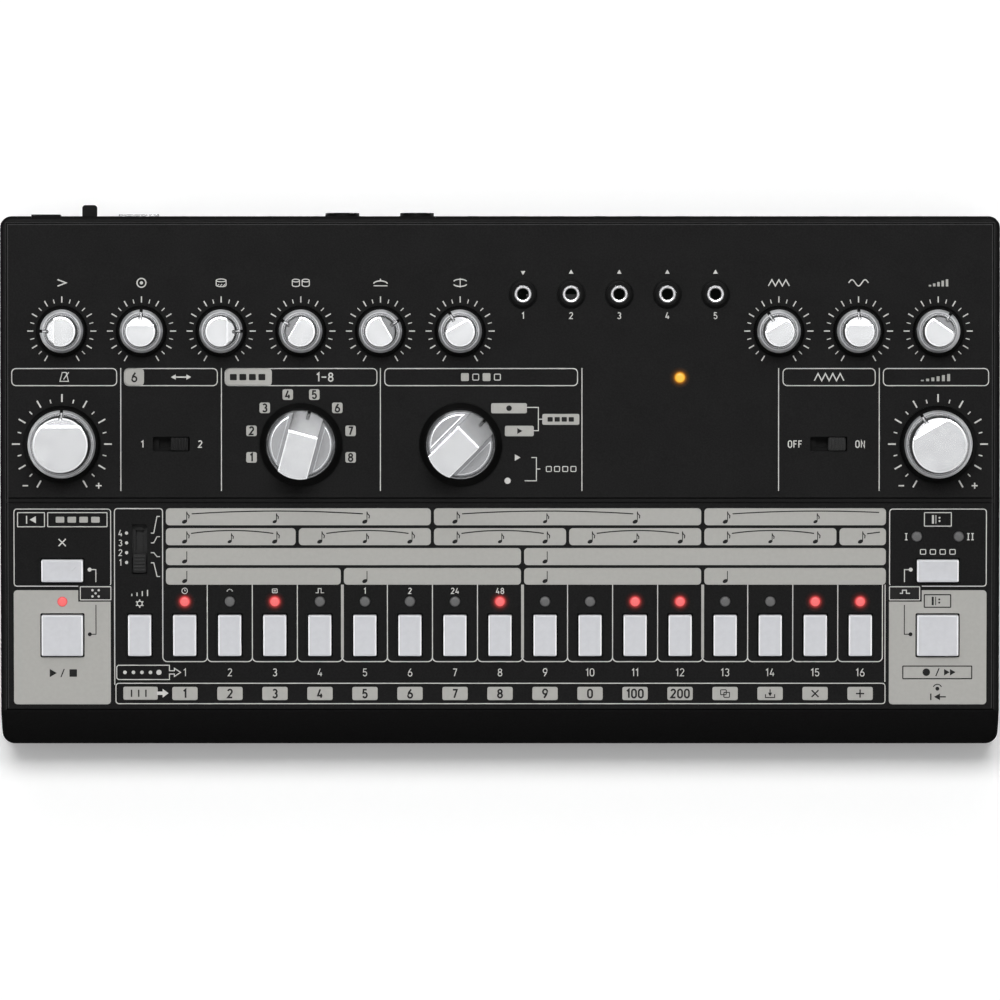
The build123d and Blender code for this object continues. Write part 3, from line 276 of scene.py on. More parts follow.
# The finishes of a knob's cap, after its top's own: the skirt's black, which also paints shade into grooves, the
# shaft's steel, and darker copies of the silver that paint shade on the selector's plates and flange, on the
# flange faces, on the large knob's falling facet, on the grip's walls and on the ledge round the grip.
SKIRT_BLACK_AND_SHADE, SHAFT, SHADED_SILVER, RIM_SHADE, FALL_SHADE, WALL_SHADE, LEDGE_SHADE = range(1, 8)
CAP_FINISHES = [
    SKIRT, STEEL, silver("knob_silver_shaded", 180), silver("knob_silver_rim_shade", 222, 0.36),
    silver("knob_silver_fall_shade", 154), silver("knob_silver_wall_shade", 120, 0.3),
    silver("knob_silver_ledge_shade", 202, 0.3),
]

SLOT_FINISH = {
    "case_plastic": CASE, "panel_paint": PAINT, "circuit_board": BOARD, "component_black": BLACK,
    "jack_metal": CHROME, "lamp": UNLIT, "foot_rubber": RUBBER, "steel": STEEL, "cable_grey": RIBBON,
    "knob_silver": SILVER, "key_grey": KEY,
}


# --- Meshes -----------------------------------------------------------------------------
def add_object(name, data):
    made = bpy.data.objects.new(name, data)
    bpy.context.scene.collection.objects.link(made)
    return made


def piece(name, bm, materials, matrix, body, slot, replaces=(), sharp=32):
    """Finishes a mesh of millimetres as a piece that rides on a body, and gives the mesh."""
    mesh = bpy.data.meshes.new(name)
    bmesh.ops.recalc_face_normals(bm, faces=bm.faces)
    bmesh.ops.scale(bm, vec=(MM, MM, MM), verts=bm.verts)
    bm.to_mesh(mesh)
    bm.free()
    for material in materials:
        mesh.materials.append(material)
    mesh.shade_smooth()
    mesh.set_sharp_from_angle(angle=radians(sharp))
    settle(name, mesh, matrix, body, slot, replaces)
    return mesh


def settle(name, mesh, matrix, body, slot, replaces=()):
    """Places a finished mesh as a piece."""
    made = add_object(name, mesh)
    made.matrix_world = matrix
    made.modifiers.new("flat_first", "WEIGHTED_NORMAL").keep_sharp = True
    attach(made, body)
    if replaces:
        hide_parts(*replaces)


def circle(radius, count, teeth_depth=0.0):
    """Points round a circle; with teeth, two of every four stand in a valley."""
    points = []
    for i in range(count):
        reach = radius - (teeth_depth if i % 4 > 1 else 0.0)
        points.append((reach * cos(2 * pi * i / count), reach * sin(2 * pi * i / count)))
    return points


def arc(x, y, across, up, start, end, steps):
    """Points on an arc of an ellipse, between two angles in degrees."""
    turns = [radians(start + (end - start) * i / steps) for i in range(steps + 1)]
    return [(x + across * cos(t), y + up * sin(t)) for t in turns]


def rounded(width, height, radius, x=0.0, y=0.0, steps=4):
    """A rounded rectangle round (x, y)."""
    points = []
    for right, up, start in ((1, -1, -90), (1, 1, 0), (-1, 1, 90), (-1, -1, 180)):
        centre_x = x + right * (width / 2 - radius)
        centre_y = y + up * (height / 2 - radius)
        points += arc(centre_x, centre_y, radius, radius, start, start + 90, steps)
    return points


def skin(bm, loops, closed=False):
    """Side faces from each loop of vertices to the next."""
    pairs = list(zip(loops, loops[1:])) + ([(loops[-1], loops[0])] if closed else [])
    return [bm.faces.new((near[i], near[i - len(near) + 1], far[i - len(near) + 1], far[i]))
            for near, far in pairs for i in range(len(near))]


def stack(rings, material=0, bm=None):
    """Adds a closed solid through (outline, height) pairs, from the bottom up, to a mesh or a new one."""
    bm = bm or bmesh.new()
    levels = [[bm.verts.new((x, y, z)) for x, y in outline] for outline, z in rings]
    for face in [bm.faces.new(levels[0][::-1]), bm.faces.new(levels[-1]), *skin(bm, levels)]:
        face.material_index = material
    return bm


def turned(rows, count, material=0, bm=None):
    """A solid turned round z through (radius, height) pairs."""
    return stack([(circle(radius, count), z) for radius, z in rows], material, bm)


def upright(outline, low, high, material=0, bm=None):
    return stack([(outline, low), (outline, high)], material, bm)


def rod(radius, low, high, count, material=0, bm=None):
    return upright(circle(radius, count), low, high, material, bm)


def carve(bm, cutter):
    """Takes one solid out of another, and gives the result as a new mesh."""
    made = []
    for solid in (bm, cutter):
        bmesh.ops.recalc_face_normals(solid, faces=solid.faces)
        mesh = bpy.data.meshes.new("carving")
        solid.to_mesh(mesh)
        solid.free()
        made.append(add_object("carving", mesh))
    modifier = made[0].modifiers.new("cut", "BOOLEAN")
    modifier.object = made[1]
    modifier.operation = "DIFFERENCE"
    modifier.solver = "MANIFOLD"
    bpy.context.view_layer.update()
    shaped = made[0].evaluated_get(bpy.context.evaluated_depsgraph_get())
    result = bmesh.new()
    result.from_mesh(shaped.to_mesh())
    result.normal_update()
    for part in made:
        bpy.data.objects.remove(part)
    return result


def merge(bm, other):
    """Adds another mesh to this one."""
    mesh = bpy.data.meshes.new("merging")
    other.to_mesh(mesh)
    other.free()
    bm.from_mesh(mesh)
    bpy.data.meshes.remove(mesh)


# --- Knobs ------------------------------------------------------------------------------
# Radii and heights in millimetres; heights are from the panel's face.
KnobSize = namedtuple(
    "KnobSize", "skirt flange grip top base flange_top height flat fall teeth", defaults=(0,))
SMALL = KnobSize(7.8, 6.6, 5.15, 4.6, 2.4, 3.8, 12.2, 2.15, 0.5, 60)
LARGE = KnobSize(11.8, 10.36, 9.2, 8.45, 2.6, 4.4, 14.3, 5.75, 0.354, 108)
SELECTOR = KnobSize(12.6, 10.5, 9.5, 10.45, 3.0, 6.2, 14.5, 3.6, 1.143)
SELECTOR_BAR = 9.4
SHOULDER = 5.6            # from a selector's middle to its side plates
TOOTH_DEPTH = 0.32
CHAMFER = 0.176           # slope of the bright chamfers
# Flange faces, as shares of their width outwards and down.
SLOPE_FACE = ((1, 0.79), (0.66, 0.45), (0.33, 0.18), (0.1, 0.04), (0, 0))
LEDGE_FACE = ((1, 0.7), (0.54, 0.24), (0.5, 0.2), (0.18, 0.2), (0.1, 0.3))


def fall(bm, start, slope, above, width):
    """Lets what is above a height fall away beyond y = start, with a narrow chamfer as its crease."""
    after = width * CHAMFER / slope
    before = width - after
    for y in (start - before, start + after):
        geometry = [*bm.verts, *bm.edges, *bm.faces]
        bmesh.ops.bisect_plane(bm, geom=geometry, plane_co=(0, y, 0), plane_no=(0, 1, 0))
    for vert in bm.verts:
        beyond = vert.co.y - start
        if vert.co.z > above and beyond > -before:
            vert.co.z -= slope * beyond if beyond > after else CHAMFER * (beyond + before)


def skirt_and_spindle(bm, size):
    """The dark skirt with its raised lip, and the shaft below it."""
    lip = size.flange + 0.45
    turned([
        (size.skirt - 0.2, KNOB_LIFT), (size.skirt, KNOB_LIFT + 0.2), (size.skirt, KNOB_LIFT + 0.6),
        (size.skirt - 0.15, KNOB_LIFT + 0.8), (lip + 0.08, size.base - 0.05), (lip, size.base),
        (lip - 0.12, size.base), (size.flange + 0.1, size.base - 0.35), (size.flange - 1, size.base - 0.35),
        (size.flange - 1, size.base),
    ], 96, SKIRT_BLACK_AND_SHADE, bm)
    rod(SPINDLE_RADIUS, SPINDLE_BOTTOM, KNOB_LIFT, 48, SHAFT, bm)


def cone(size, neck, face):
    """Radii and heights of a flange: an upright rim, then its face."""
    rim = size.flange - 0.12
    width = rim - neck
    rows = [(neck + width * part, size.flange_top - width * drop) for part, drop in face]
    return [(rim, size.base), (size.flange, size.base + 0.12), (size.flange, rows[0][1] - 0.12)] + rows


def rim_notch(size):
    """A cutter for the gap in the flange under the pointer."""
    return upright(rounded(1.0, 2.0, 0.1, 0, size.flange + 0.25, 1), size.base - 1, size.height + 1)


def pointer_groove(size, start, wall, ledge):
    """A cutter for the pointer: a groove with sloping sides down the face, the wall and a ledge."""
    def face(y):
        return size.height - size.fall * (y - size.flat)

    def side_view(depth, inset, drop):
        return [
            (start, size.height + 1), (start + 0.3 - inset, face(start) - depth),
            (wall - inset, face(wall) - depth), (wall - inset + 0.02, ledge - drop),
            (size.flange + 1, ledge - drop), (size.flange + 1, size.height + 1),
        ]
    cutter = bmesh.new()
    shallow, deep = (-0.02, 0.0, 0.0), (0.4, 0.4, 0.45)
    views = [(-0.6, shallow), (-0.3, deep), (0.3, deep), (0.6, shallow)]
    loops = [[cutter.verts.new((x, y, z)) for y, z in side_view(*how)] for x, how in views]
    cutter.faces.new(loops[0])
    cutter.faces.new(loops[-1][::-1])
    skin(cutter, loops)
    bmesh.ops.triangulate(cutter, faces=cutter.faces)
    return cutter


def shade_grooves(bm, size):
    """Paints shade: gives the skirt's black to the pointer's sides and to the gaps between the teeth."""
    tip = size.top + 0.16
    for face in bm.faces:
        middle, normal = face.calc_center_median(), face.normal
        if abs(normal.x) > 0.5 and abs(middle.x) < 0.59 and middle.y > 2:
            face.material_index = SKIRT_BLACK_AND_SHADE
        part = (size.height - 1 - middle.z) / (size.height - size.flange_top - 0.7)
        ridge = tip + (size.grip - tip) * part
        on_teeth = size.teeth and abs(normal.z) < 0.5 and size.flange_top < middle.z < size.height - 0.9
        if on_teeth and hypot(middle.x, middle.y) < ridge - 0.06:
            face.material_index = SKIRT_BLACK_AND_SHADE


def round_cap(size):
    """A turned cap with a stepped flange, fine teeth and a top that falls to its pointer."""
    count = 4 * size.teeth
    neck, top, height = size.grip + 0.14, size.top, size.height
    rows = [(radius, z, 0) for radius, z in cone(size, neck, LEDGE_FACE)]
    rows += [
        (neck, size.flange_top - 0.3, 0), (size.grip, size.flange_top - 0.3, TOOTH_DEPTH),
        (top + 0.16, height - 1.0, TOOTH_DEPTH), (top + 0.04, height - 0.8, TOOTH_DEPTH - 0.2),
        (top, height - 0.6, 0), (top, height - 0.3, 0), (top - 0.12, height - 0.42 * CHAMFER, 0),
        (top - 0.54, height, 0),
    ]
    bm = stack([(circle(radius, count, depth), z) for radius, z, depth in rows])
    fall(bm, size.flat, size.fall, size.flange_top + 1, 0.36 if size is SMALL else 0.7)
    bm = carve(bm, pointer_groove(size, top - 0.95, top + 0.1, size.flange_top))
    bm = carve(bm, rim_notch(size))
    shade_grooves(bm, size)
    # Painted shade: darker copies of the silver go on the flange faces, the ledge round the grip, the grip's walls
    # and the large knob's falling facet.
    for face in bm.faces:
        middle, normal = face.calc_center_median(), face.normal
        reach = hypot(middle.x, middle.y)
        plain = face.material_index == 0
        if plain and reach > neck + 0.18:
            face.material_index = LEDGE_SHADE if normal.z > 0.99 else RIM_SHADE
        elif plain and (reach > size.grip or abs(normal.z) < 0.3) and middle.z < height - 0.8:
            face.material_index = WALL_SHADE
        elif size is LARGE and abs(normal.x) < 0.02 and 0.3 < normal.y < 0.4:
            face.material_index = FALL_SHADE
    return bm


def bar_outline(width, radius):
    """A bar across a disc, whose two ends follow the disc's edge."""
    half = degrees(atan(width / 2 / sqrt(radius ** 2 - width ** 2 / 4)))
    ends = [arc(0, 0, radius, radius, side - half, side + half, 8) for side in (90, 270)]
    return ends[0] + ends[1]


def selector_cap(size):
    """A disc with a side plate left and right of a grip, which slopes down to its pointer."""
    grip, lip, height = size.grip, size.flange_top, size.height
    disc = turned(cone(size, grip + 0.1, SLOPE_FACE) + [(grip, lip - 0.15), (grip, lip - 0.7)], 128)
    disc = carve(disc, rim_notch(size))
    for side in (0, 180):
        levels = []
        for inset, drop in ((0, 0.72), (0, 0.3), (0.08, 0.12 + 0.26 * CHAMFER), (0.34, 0.12)):
            radius, edge = grip - 0.2 - inset, SHOULDER + inset
            half = degrees(atan(sqrt(radius ** 2 - edge ** 2) / edge))
            levels.append((arc(0, 0, radius, radius, side - half, side + half, 20), lip - drop))
        stack(levels, 0, disc)
    disc.normal_update()
    # Painted shade: the flange and the flat side plates get a darker copy of the silver.
    for face in disc.faces:
        middle = face.calc_center_median()
        if hypot(middle.x, middle.y) > grip or face.normal.z > 0.999:
            face.material_index = SHADED_SILVER
    levels = [(bar_outline(SELECTOR_BAR, size.top), size.base + 1.5)]
    for inset, depth in ((0, 0.4), (0.1, 0.34 * CHAMFER), (0.44, 0)):
        levels.append((bar_outline(SELECTOR_BAR - 2 * inset, size.top - inset), height - depth))
    bar = stack(levels)
    fall(bar, size.flat, size.fall, height - 1, 0.5)
    bar = carve(bar, pointer_groove(size, size.top - 2.4, size.flange + 0.5, lip - 2))
    bar = carve(bar, rim_notch(size))
    merge(bar, disc)
    bar.normal_update()
    shade_grooves(bar, size)
    return bar


def make_knobs():
    """Every knob rides on its own body, with its pointer where the frame's knob has it."""
    small = (("accent", -90), ("bass_drum", 0), ("snare_drum", 90), ("low_high_tom", -60),
             ("cymbal_clap", 60), ("hi_hat", -30), ("distortion", -30), ("tone", 0), ("level", 35))
    places = [(name, x, SMALL_ROW, turn, SMALL) for (name, turn), x in zip(small, LEFT_KNOBS + RIGHT_KNOBS)]
    places += [
        ("tempo", -END_COLUMN, LARGE_ROW, 0, LARGE), ("volume", END_COLUMN, LARGE_ROW, -30, LARGE),
        ("instrument_selector", INSTRUMENT_X, LARGE_ROW, 15, SELECTOR),
        ("mode_selector", MODE_X, LARGE_ROW, 45, SELECTOR),
    ]
    meshes = {}
    for name, x, y, turn, size in places:
        where = (place(UPPER, x, y, turn), f"{name}_knob", "knob_silver", [f"{name}_knob"])
        if size in meshes:
            settle(f"{name}_cap", meshes[size], *where)
            continue
        bm = selector_cap(size) if size is SELECTOR else round_cap(size)
        skirt_and_spindle(bm, size)
        top = SILVER if size is SMALL else SILVER_WIDE_SHADED
        meshes[size] = piece(f"{name}_cap", bm, [top, *CAP_FINISHES], *where, sharp=8)


# --- Keys -------------------------------------------------------------------------------
KEY_CORNER = 0.45
KEY_BEVEL = 0.42
KEY_DISH = 0.12           # how far the middle of a key's face is below its edge
STEP_KEY, SQUARE_KEY, WIDE_KEY = (7.04, 12.5), (12.62, 12.48), (12.7, 6.8)


def key_mesh(across, along):
    """A key's cap with a rounded edge and a slightly hollow face, its flange, stem and plunger."""
    under = -PLATE - 0.3
    rings = [(rounded(across, along, KEY_CORNER), under)]
    for inset, drop in ((0.0, 0.22), (0.02, 0.17), (0.06, 0.13), (KEY_BEVEL, 0.02)):
        corner = max(KEY_CORNER - inset, 0.12)
        rings.append((rounded(across - 2 * inset, along - 2 * inset, corner), KEY_PROUD - drop))
    for share in (0.1, 0.35, 0.65, 1.0):
        inset = KEY_BEVEL + share * (across / 2 - KEY_BEVEL) * 0.8
        drop = 0.02 + KEY_DISH * (1 - (1 - share) ** 2)
        rings.append((rounded(across - 2 * inset, along - 2 * inset, 0.12), KEY_PROUD - drop))
    bm = stack(rings)
    bm.normal_update()
    # Painted highlight: the left and right chamfers get a near-white grey, as if they caught the side lights.
    for face in bm.faces:
        if abs(face.normal.x) > 0.2 and 0.3 < face.normal.z < 0.99:
            face.material_index = 2
    # Painted shade: the flange, stem and plunger are black, so that the gap round the cap, through which the
    # flange shows, reads as shadow.
    upright(rounded(across + 1.6, along + 1.6, KEY_CORNER), under - 0.8, under - 0.02, 1, bm)
    stem_end = KEY_TRAVEL + 0.3 - SWITCH_TOP
    rod(2.0, stem_end, under - 0.82, 32, 1, bm)
    rod(1.5, -SWITCH_TOP - 1.5, stem_end - 0.02, 32, 1, bm)
    return bm


def make_keys():
    """The step keys, the two square keys and the two wide keys."""
    places = [("function_button", FUNCTION_X, STEP_ROW, STEP_KEY)]
    places += [(f"step_button_{i:02d}", x, STEP_ROW, STEP_KEY) for i, x in enumerate(STEP_XS, 1)]
    places += [
        ("start_stop_button", -END_COLUMN, STEP_ROW, SQUARE_KEY),
        ("write_next_button", END_COLUMN, STEP_ROW, SQUARE_KEY),
        ("clear_button", -END_COLUMN, CLEAR_ROW, WIDE_KEY),
        ("pattern_group_button", END_COLUMN, CLEAR_ROW, WIDE_KEY),
    ]
    meshes = {}
    for node, x, y, size in places:
        key = node.replace("button", "key")
        where = (place(LOWER, x, y), node, "key_grey", [node])
        if size in meshes:
            settle(key, meshes[size], *where)
        else:
            meshes[size] = piece(key, key_mesh(*size), [KEY, BLACK, KEY_EDGE_HIGHLIGHT], *where, sharp=8)


# --- Lamps ------------------------------------------------------------------------------
LIT_STEPS = (1, 3, 8, 11, 12, 15, 16)
# Insets from the lens's radius, and heights.
LENS_EDGE = (
    (0.0, -2.4), (0.0, -0.1), (0.03, 0.12), (0.1, 0.24), (0.25, 0.34), (0.5, 0.42), (0.9, 0.48), (1.5, 0.5))


def lens_mesh():
    """A domed lens with its body and two leads."""
    bm = turned([(LENS_RADIUS - inset, z) for inset, z in LENS_EDGE], 40)
    rod(LENS_RADIUS + 0.35, -3.4, -2.4, 40, 0, bm)
    for side in (-1.27, 1.27):
        upright(rounded(0.5, 0.5, 0.1, side, 0, 1), -7.5, -3.4, 1, bm)
    return bm


def make_lamps():
    """Each lamp is its own piece; a lit one has its light on the panel round it."""
    lamps = [("start_lamp", LOWER, -END_COLUMN, STEP_LED_ROW, RED, None)]
    for i, x in enumerate(STEP_XS, 1):
        looks = (RED, RED_SPILL) if i in LIT_STEPS else (UNLIT, None)
        lamps.append((f"step_lamp_{i:02d}", LOWER, x, STEP_LED_ROW, *looks))
    for i, x in enumerate((END_COLUMN - PATTERN_LED_SPREAD, END_COLUMN + PATTERN_LED_SPREAD), 1):
        lamps.append((f"pattern_lamp_{i}", LOWER, x, PATTERN_LED_ROW, UNLIT, None))
    lamps.append(("status_lamp", UPPER, *STATUS_LED, AMBER, AMBER_SPILL))
    for name, panel, x, y, lens, spill in lamps:
        spot = place(panel, x, y)
        replaced = ["leds"] if name == "start_lamp" else []
        piece(name, lens_mesh(), [lens, STEEL], spot, "chassis", "lamp", replaced)
        if spill:
            glow = carve(rod(SPILL_RADIUS, 0.002, 0.006, 48), rod(LENS_RADIUS + 0.11, -1, 1, 48))
            piece(f"{name}_glow", glow, [spill], spot, "chassis", "lamp")


# --- Panel jacks and slide switches -----------------------------------------------------
JACK_BORE = 1.8
# Radii and heights.
BUSH = (
    (2.8, -2.6), (2.8, 1.1), (2.6, 1.3), (2.58, 1.75), (2.46, 1.88), (2.2, 1.9), (1.98, 1.84), (1.86, 1.6))
RING_NUT = ((4.28, 0.0), (4.28, 0.75), (4.2, 0.95), (3.95, 1.1), (3.6, 1.18), (3.45, 1.4), (2.9, 1.4))
NUT_EYE = ((2.82, -1), (2.82, 1.12), (2.62, 1.2), (2.7, 3))


def make_jacks():
    """Threaded bushes with polished mouths in black ring nuts."""
    for number, x in enumerate(JACK_XS, 1):
        jack = carve(turned(BUSH, 64), rod(JACK_BORE, -9.4, 3, 64))
        merge(jack, carve(turned(RING_NUT, 96, 1), turned(NUT_EYE, 64)))
        merge(jack, carve(upright(rounded(9.0, 10.5, 0.4), -9.5, -2.65, 1), rod(JACK_BORE, -10, -2, 64)))
        replaced = ["panel_jacks"] if number == 1 else []
        where = (place(UPPER, x, JACK_ROW), "chassis", "jack_metal", replaced)
        piece(f"panel_jack_{number}", jack, [CHROME, BLACK], *where)


def slider_mesh(across, along):
    """A cap with five rounded ribs across its travel, and its stem."""
    low, high = 0.3, 0.7
    block = rounded(across, along, 0.45)
    bm = stack([(block, -PLATE - 0.3), (block, low - 0.12), (rounded(across - 0.2, along - 0.2, 0.36), low)])
    tall = along > across
    pitch = (max(across, along) - 0.5) / 5
    width = (across if tall else along) - 0.5
    for rib in range(5):
        shift = (rib - 2) * pitch
        rows = []
        for inset, z in ((0.0, low - 0.05), (0.0, high - 0.15), (0.08, high - 0.03), (0.2, high)):
            size = (width - 2 * inset, pitch * 0.62 - 2 * inset)
            centre = (0, shift)
            if not tall:
                size, centre = size[::-1], centre[::-1]
            rows.append((rounded(*size, max(0.1 - inset / 3, 0.02), *centre, 2), z))
        stack(rows, 0, bm)
    return upright(rounded(2.0, 2.0, 0.2, steps=1), -4.9, -PLATE - 0.32, 0, bm)


def make_sliders():
    """The two small switches and the four-way one."""
    for node, spot, size, material in (
        ("voice_select_slider", place(UPPER, 2.5 - SLIDE_X, LARGE_ROW), (5.3, 4.0), SLIDER),
        ("distortion_slider", place(UPPER, 2.5 + SLIDE_X, LARGE_ROW), (5.3, 4.0), SLIDER_GREY),
        ("scale_slider", place(LOWER, FUNCTION_X, SCALE_ROW - 4.35), (3.94, 5.7), SLIDER_GREY),
    ):
        piece(f"{node}_cap", slider_mesh(*size), [material], spot, node, "component_black", [node])


# --- Printed graphics -------------------------------------------------------------------
INK = 0.03                # thickness of the printed ink
HAIR = 0.28               # width of a fine line
WHITE, GREY, DARK = range(3)


class Print:
    """Ink on one panel: closed strips and patches a few hundredths of a millimetre thick.

    What is drawn is placed from the spot that at() or dark() chose, in the ink of that call.
    """

    def __init__(self):
        self.bm = bmesh.new()
        self.at()

    def at(self, x=0.0, y=0.0, material=WHITE, layer=0):
        """Chooses a spot and an ink; a higher layer lies on a lower one."""
        self.x, self.y, self.material, self.layer = x, y, material, layer
        return self

    def dark(self, x=0.0, y=0.0):
        return self.at(x, y, DARK, 1)

    def levels(self, lift):
        """Bottom and top of the ink; what crosses other ink of its layer is lifted a little."""
        layer = self.layer + lift
        return -0.01 if layer == 0 else INK * layer - 0.005, INK * (layer + 1)

    def patch(self, outline, lift=0.0, material=None):
        """A filled outline."""
        outline = [(self.x + x, self.y + y) for x, y in outline]
        upright(outline, *self.levels(lift), self.material if material is None else material, self.bm)

    def line(self, points, width, lift=0.0, closed=False):
        """A strip along points with mitred corners."""
        points = [(self.x + x, self.y + y) for x, y in points]
        rows = []
        for i, (x, y) in enumerate(points):
            ways = []
            if i or closed:
                ways.append(unit(x - points[i - 1][0], y - points[i - 1][1]))
            if closed or i < len(points) - 1:
                after = points[(i + 1) % len(points)]
                ways.append(unit(after[0] - x, after[1] - y))
            across = unit(-sum(w[1] for w in ways), sum(w[0] for w in ways))
            reach = width / 2 / max(-across[0] * ways[0][1] + across[1] * ways[0][0], 0.4)
            rows.append([(x + across[0] * side, y + across[1] * side) for side in (reach, -reach)])
        base, top = self.levels(lift)
        loops = [[self.bm.verts.new((*p, z)) for p, z in ((a, base), (b, base), (b, top), (a, top))]
                 for a, b in rows]
        faces = skin(self.bm, loops, closed)
        if not closed:
            faces += [self.bm.faces.new(loops[0][::-1]), self.bm.faces.new(loops[-1])]
        for face in faces:
            face.material_index = self.material

    def stroke(self, width, *numbers, **how):
        """A strip through points that are written x, y, x, y."""
        self.line(list(zip(numbers[::2], numbers[1::2])), width, **how)

    def box(self, left, low, right, high, width=HAIR, radius=0.9, lift=0.0):
        """A line just inside a rounded outline."""
        middle = ((left + right) / 2, (low + high) / 2)
        outline = rounded(right - left - width, high - low - width, radius, *middle)
        self.line(without_doubles(outline), width, lift, True)

    def tab(self, left, low, right, high, radius):
        """A filled rounded box, which is grey where lines are white."""
        outline = rounded(right - left, high - low, radius, (left + right) / 2, (low + high) / 2)
        self.patch(outline, material=self.material or GREY)

    def row(self, shape, count, pitch, left, low, right, high, *how):
        """Boxes or tabs side by side."""
        for i in range(count):
            shape(left + pitch * i, low, right + pitch * i, high, *how)

    def dot(self, x, y, radius, lift=0.0):
        self.patch([(x + a, y + b) for a, b in circle(radius, 24)], lift)

    def head(self, x, y, size, turn):
        """A filled triangle that points up, turned clockwise."""
        corners = [clockwise(turn + corner, size) for corner in (0, -120, 120)]
        self.patch([(x + a, y + b) for a, b in corners])

    def text(self, words, height, weight):
        """Numbers and a few plain letters, centred on the spot."""
        wide, gap = height * 1.12, height * 0.2 + weight / 3
        widths = [wide * GLYPHS[letter][0] for letter in words]
        left = -(sum(widths) + gap * (len(words) - 1)) / 2
        for letter, width in zip(words, widths):
            for strokes, (closed, points) in enumerate(GLYPHS[letter][1]):
                drawn = [(left + wide * a, height * (b - 0.5)) for a, b in points]
                self.line(drawn, weight, 0.08 * strokes, closed)
            left += width + gap

    def finish(self, name, panel):
        piece(name, self.bm, INKS, panel, "chassis", "panel_paint")


def unit(x, y):
    length = hypot(x, y) or 1.0
    return x / length, y / length


def clockwise(turn, reach):
    """The point at this distance and at an angle clockwise from straight up."""
    return reach * sin(radians(turn)), reach * cos(radians(turn))


def without_doubles(points):
    return [p for i, p in enumerate(points) if hypot(p[0] - points[i - 1][0], p[1] - points[i - 1][1]) > 0.01]


def ring(x, y, across, up):
    """Twenty points round an ellipse."""
    return arc(x, y, across, up, 0, 342, 19)


# Each glyph's width and strokes, in a box from 0 to 1; a stroke is closed or open.
OPEN, CLOSED = False, True
SIX = [(0.36, 1.0), (0.12, 0.62), *arc(0.25, 0.28, 0.23, 0.28, 160, -180, 16)]
OVAL = (0.48, [(CLOSED, without_doubles(
    arc(0.24, 0.72, 0.22, 0.26, 0, 180, 8) + arc(0.24, 0.28, 0.22, 0.26, 180, 360, 8)))])
GLYPHS = {
    "0": OVAL, "O": OVAL,
    "1": (0.26, [(OPEN, [(0.0, 0.78), (0.2, 0.97), (0.2, 0.0)])]),
    "2": (0.48, [(OPEN, arc(0.24, 0.74, 0.21, 0.24, 165, -30, 9) + [(0.03, 0.04), (0.48, 0.04)])]),
    "3": (0.46, [(OPEN, arc(0.22, 0.74, 0.2, 0.23, 150, -90, 9)),
                 (OPEN, arc(0.22, 0.27, 0.22, 0.25, 90, -155, 9))]),
    "4": (0.5, [(OPEN, [(0.28, 1.0), (0.03, 0.26), (0.5, 0.26)]), (OPEN, [(0.37, 0.5), (0.37, 0.0)])]),
    "5": (0.46, [(OPEN, [(0.42, 0.96), (0.08, 0.96), (0.05, 0.55),
                         *arc(0.22, 0.31, 0.22, 0.29, 110, -155, 9)])]),
    "6": (0.48, [(OPEN, SIX)]),
    "7": (0.44, [(OPEN, [(0.0, 0.95), (0.42, 0.95), (0.14, 0.0)])]),
    "8": (0.48, [(CLOSED, ring(0.24, 0.75, 0.19, 0.21)), (CLOSED, ring(0.24, 0.27, 0.22, 0.25))]),
    "9": (0.48, [(OPEN, [(0.5 - a, 1.0 - b) for a, b in SIX])]),
    "N": (0.48, [(OPEN, [(0.04, 0.0), (0.04, 1.0), (0.44, 0.0), (0.44, 1.0)])]),
    "F": (0.42, [(OPEN, [(0.42, 0.96), (0.04, 0.96), (0.04, 0.0)]), (OPEN, [(0.04, 0.52), (0.36, 0.52)])]),
    "I": (0.32, [(OPEN, [(0.16, 0.0), (0.16, 1.0)]), (OPEN, [(0.0, 0.05), (0.32, 0.05)]),
                 (OPEN, [(0.0, 0.95), (0.32, 0.95)])]),
    "+": (0.5, [(OPEN, [(0.25, 0.2), (0.25, 0.8)]), (OPEN, [(-0.02, 0.5), (0.52, 0.5)])]),
    "-": (0.5, [(OPEN, [(0.0, 0.5), (0.5, 0.5)])]),
}


def zigzag(width, height, teeth):
    count = 2 * teeth
    return [(width * (i / count - 0.5), height / 2 * (1 if i % 2 else -1)) for i in range(count + 1)]


def wave(width, height, turns):
    return [(width * (i / 24 - 0.5), height / 2 * sin(2 * pi * turns * i / 24)) for i in range(25)]


def ticks(sheet, inner, major, minor, heavy, light):
    """A dial's marks: every 15 degrees, with the 30-degree ones longer and heavier."""
    for turn in range(-150, 151, 15):
        outer, width = (minor, light) if turn % 30 else (major, heavy)
        sheet.stroke(width, *clockwise(turn, inner), *clockwise(turn, outer))


def cross(sheet, reach, width):
    sheet.stroke(width, -reach, -reach, reach, reach)
    sheet.stroke(width, -reach, reach, reach, -reach, lift=0.1)


def drum_side(sheet, x, width, height):
    """A drum seen from the side: an oval head over a straight wall."""
    half, up = width / 2, height / 2
    sheet.line(ring(x, up, half, 0.42), 0.28, closed=True)
    sheet.line([(x - half, up), *arc(x, -up, half, 0.42, 180, 360, 10), (x + half, up)], 0.28, 0.1)


def repeat_sign(sheet):
    """The common repeat sign: a thick bar, a thin bar and two dots."""
    sheet.stroke(0.62, -1.5, -1.3, -1.5, 1.3)
    sheet.stroke(0.24, -0.6, -1.3, -0.6, 1.3)
    for up in (-0.5, 0.5):
        sheet.dot(0.5, up, 0.3)


HEADER_LOW, HEADER_HIGH = 34.9, 40.4
KNOB_SIGN_ROW = 66.4


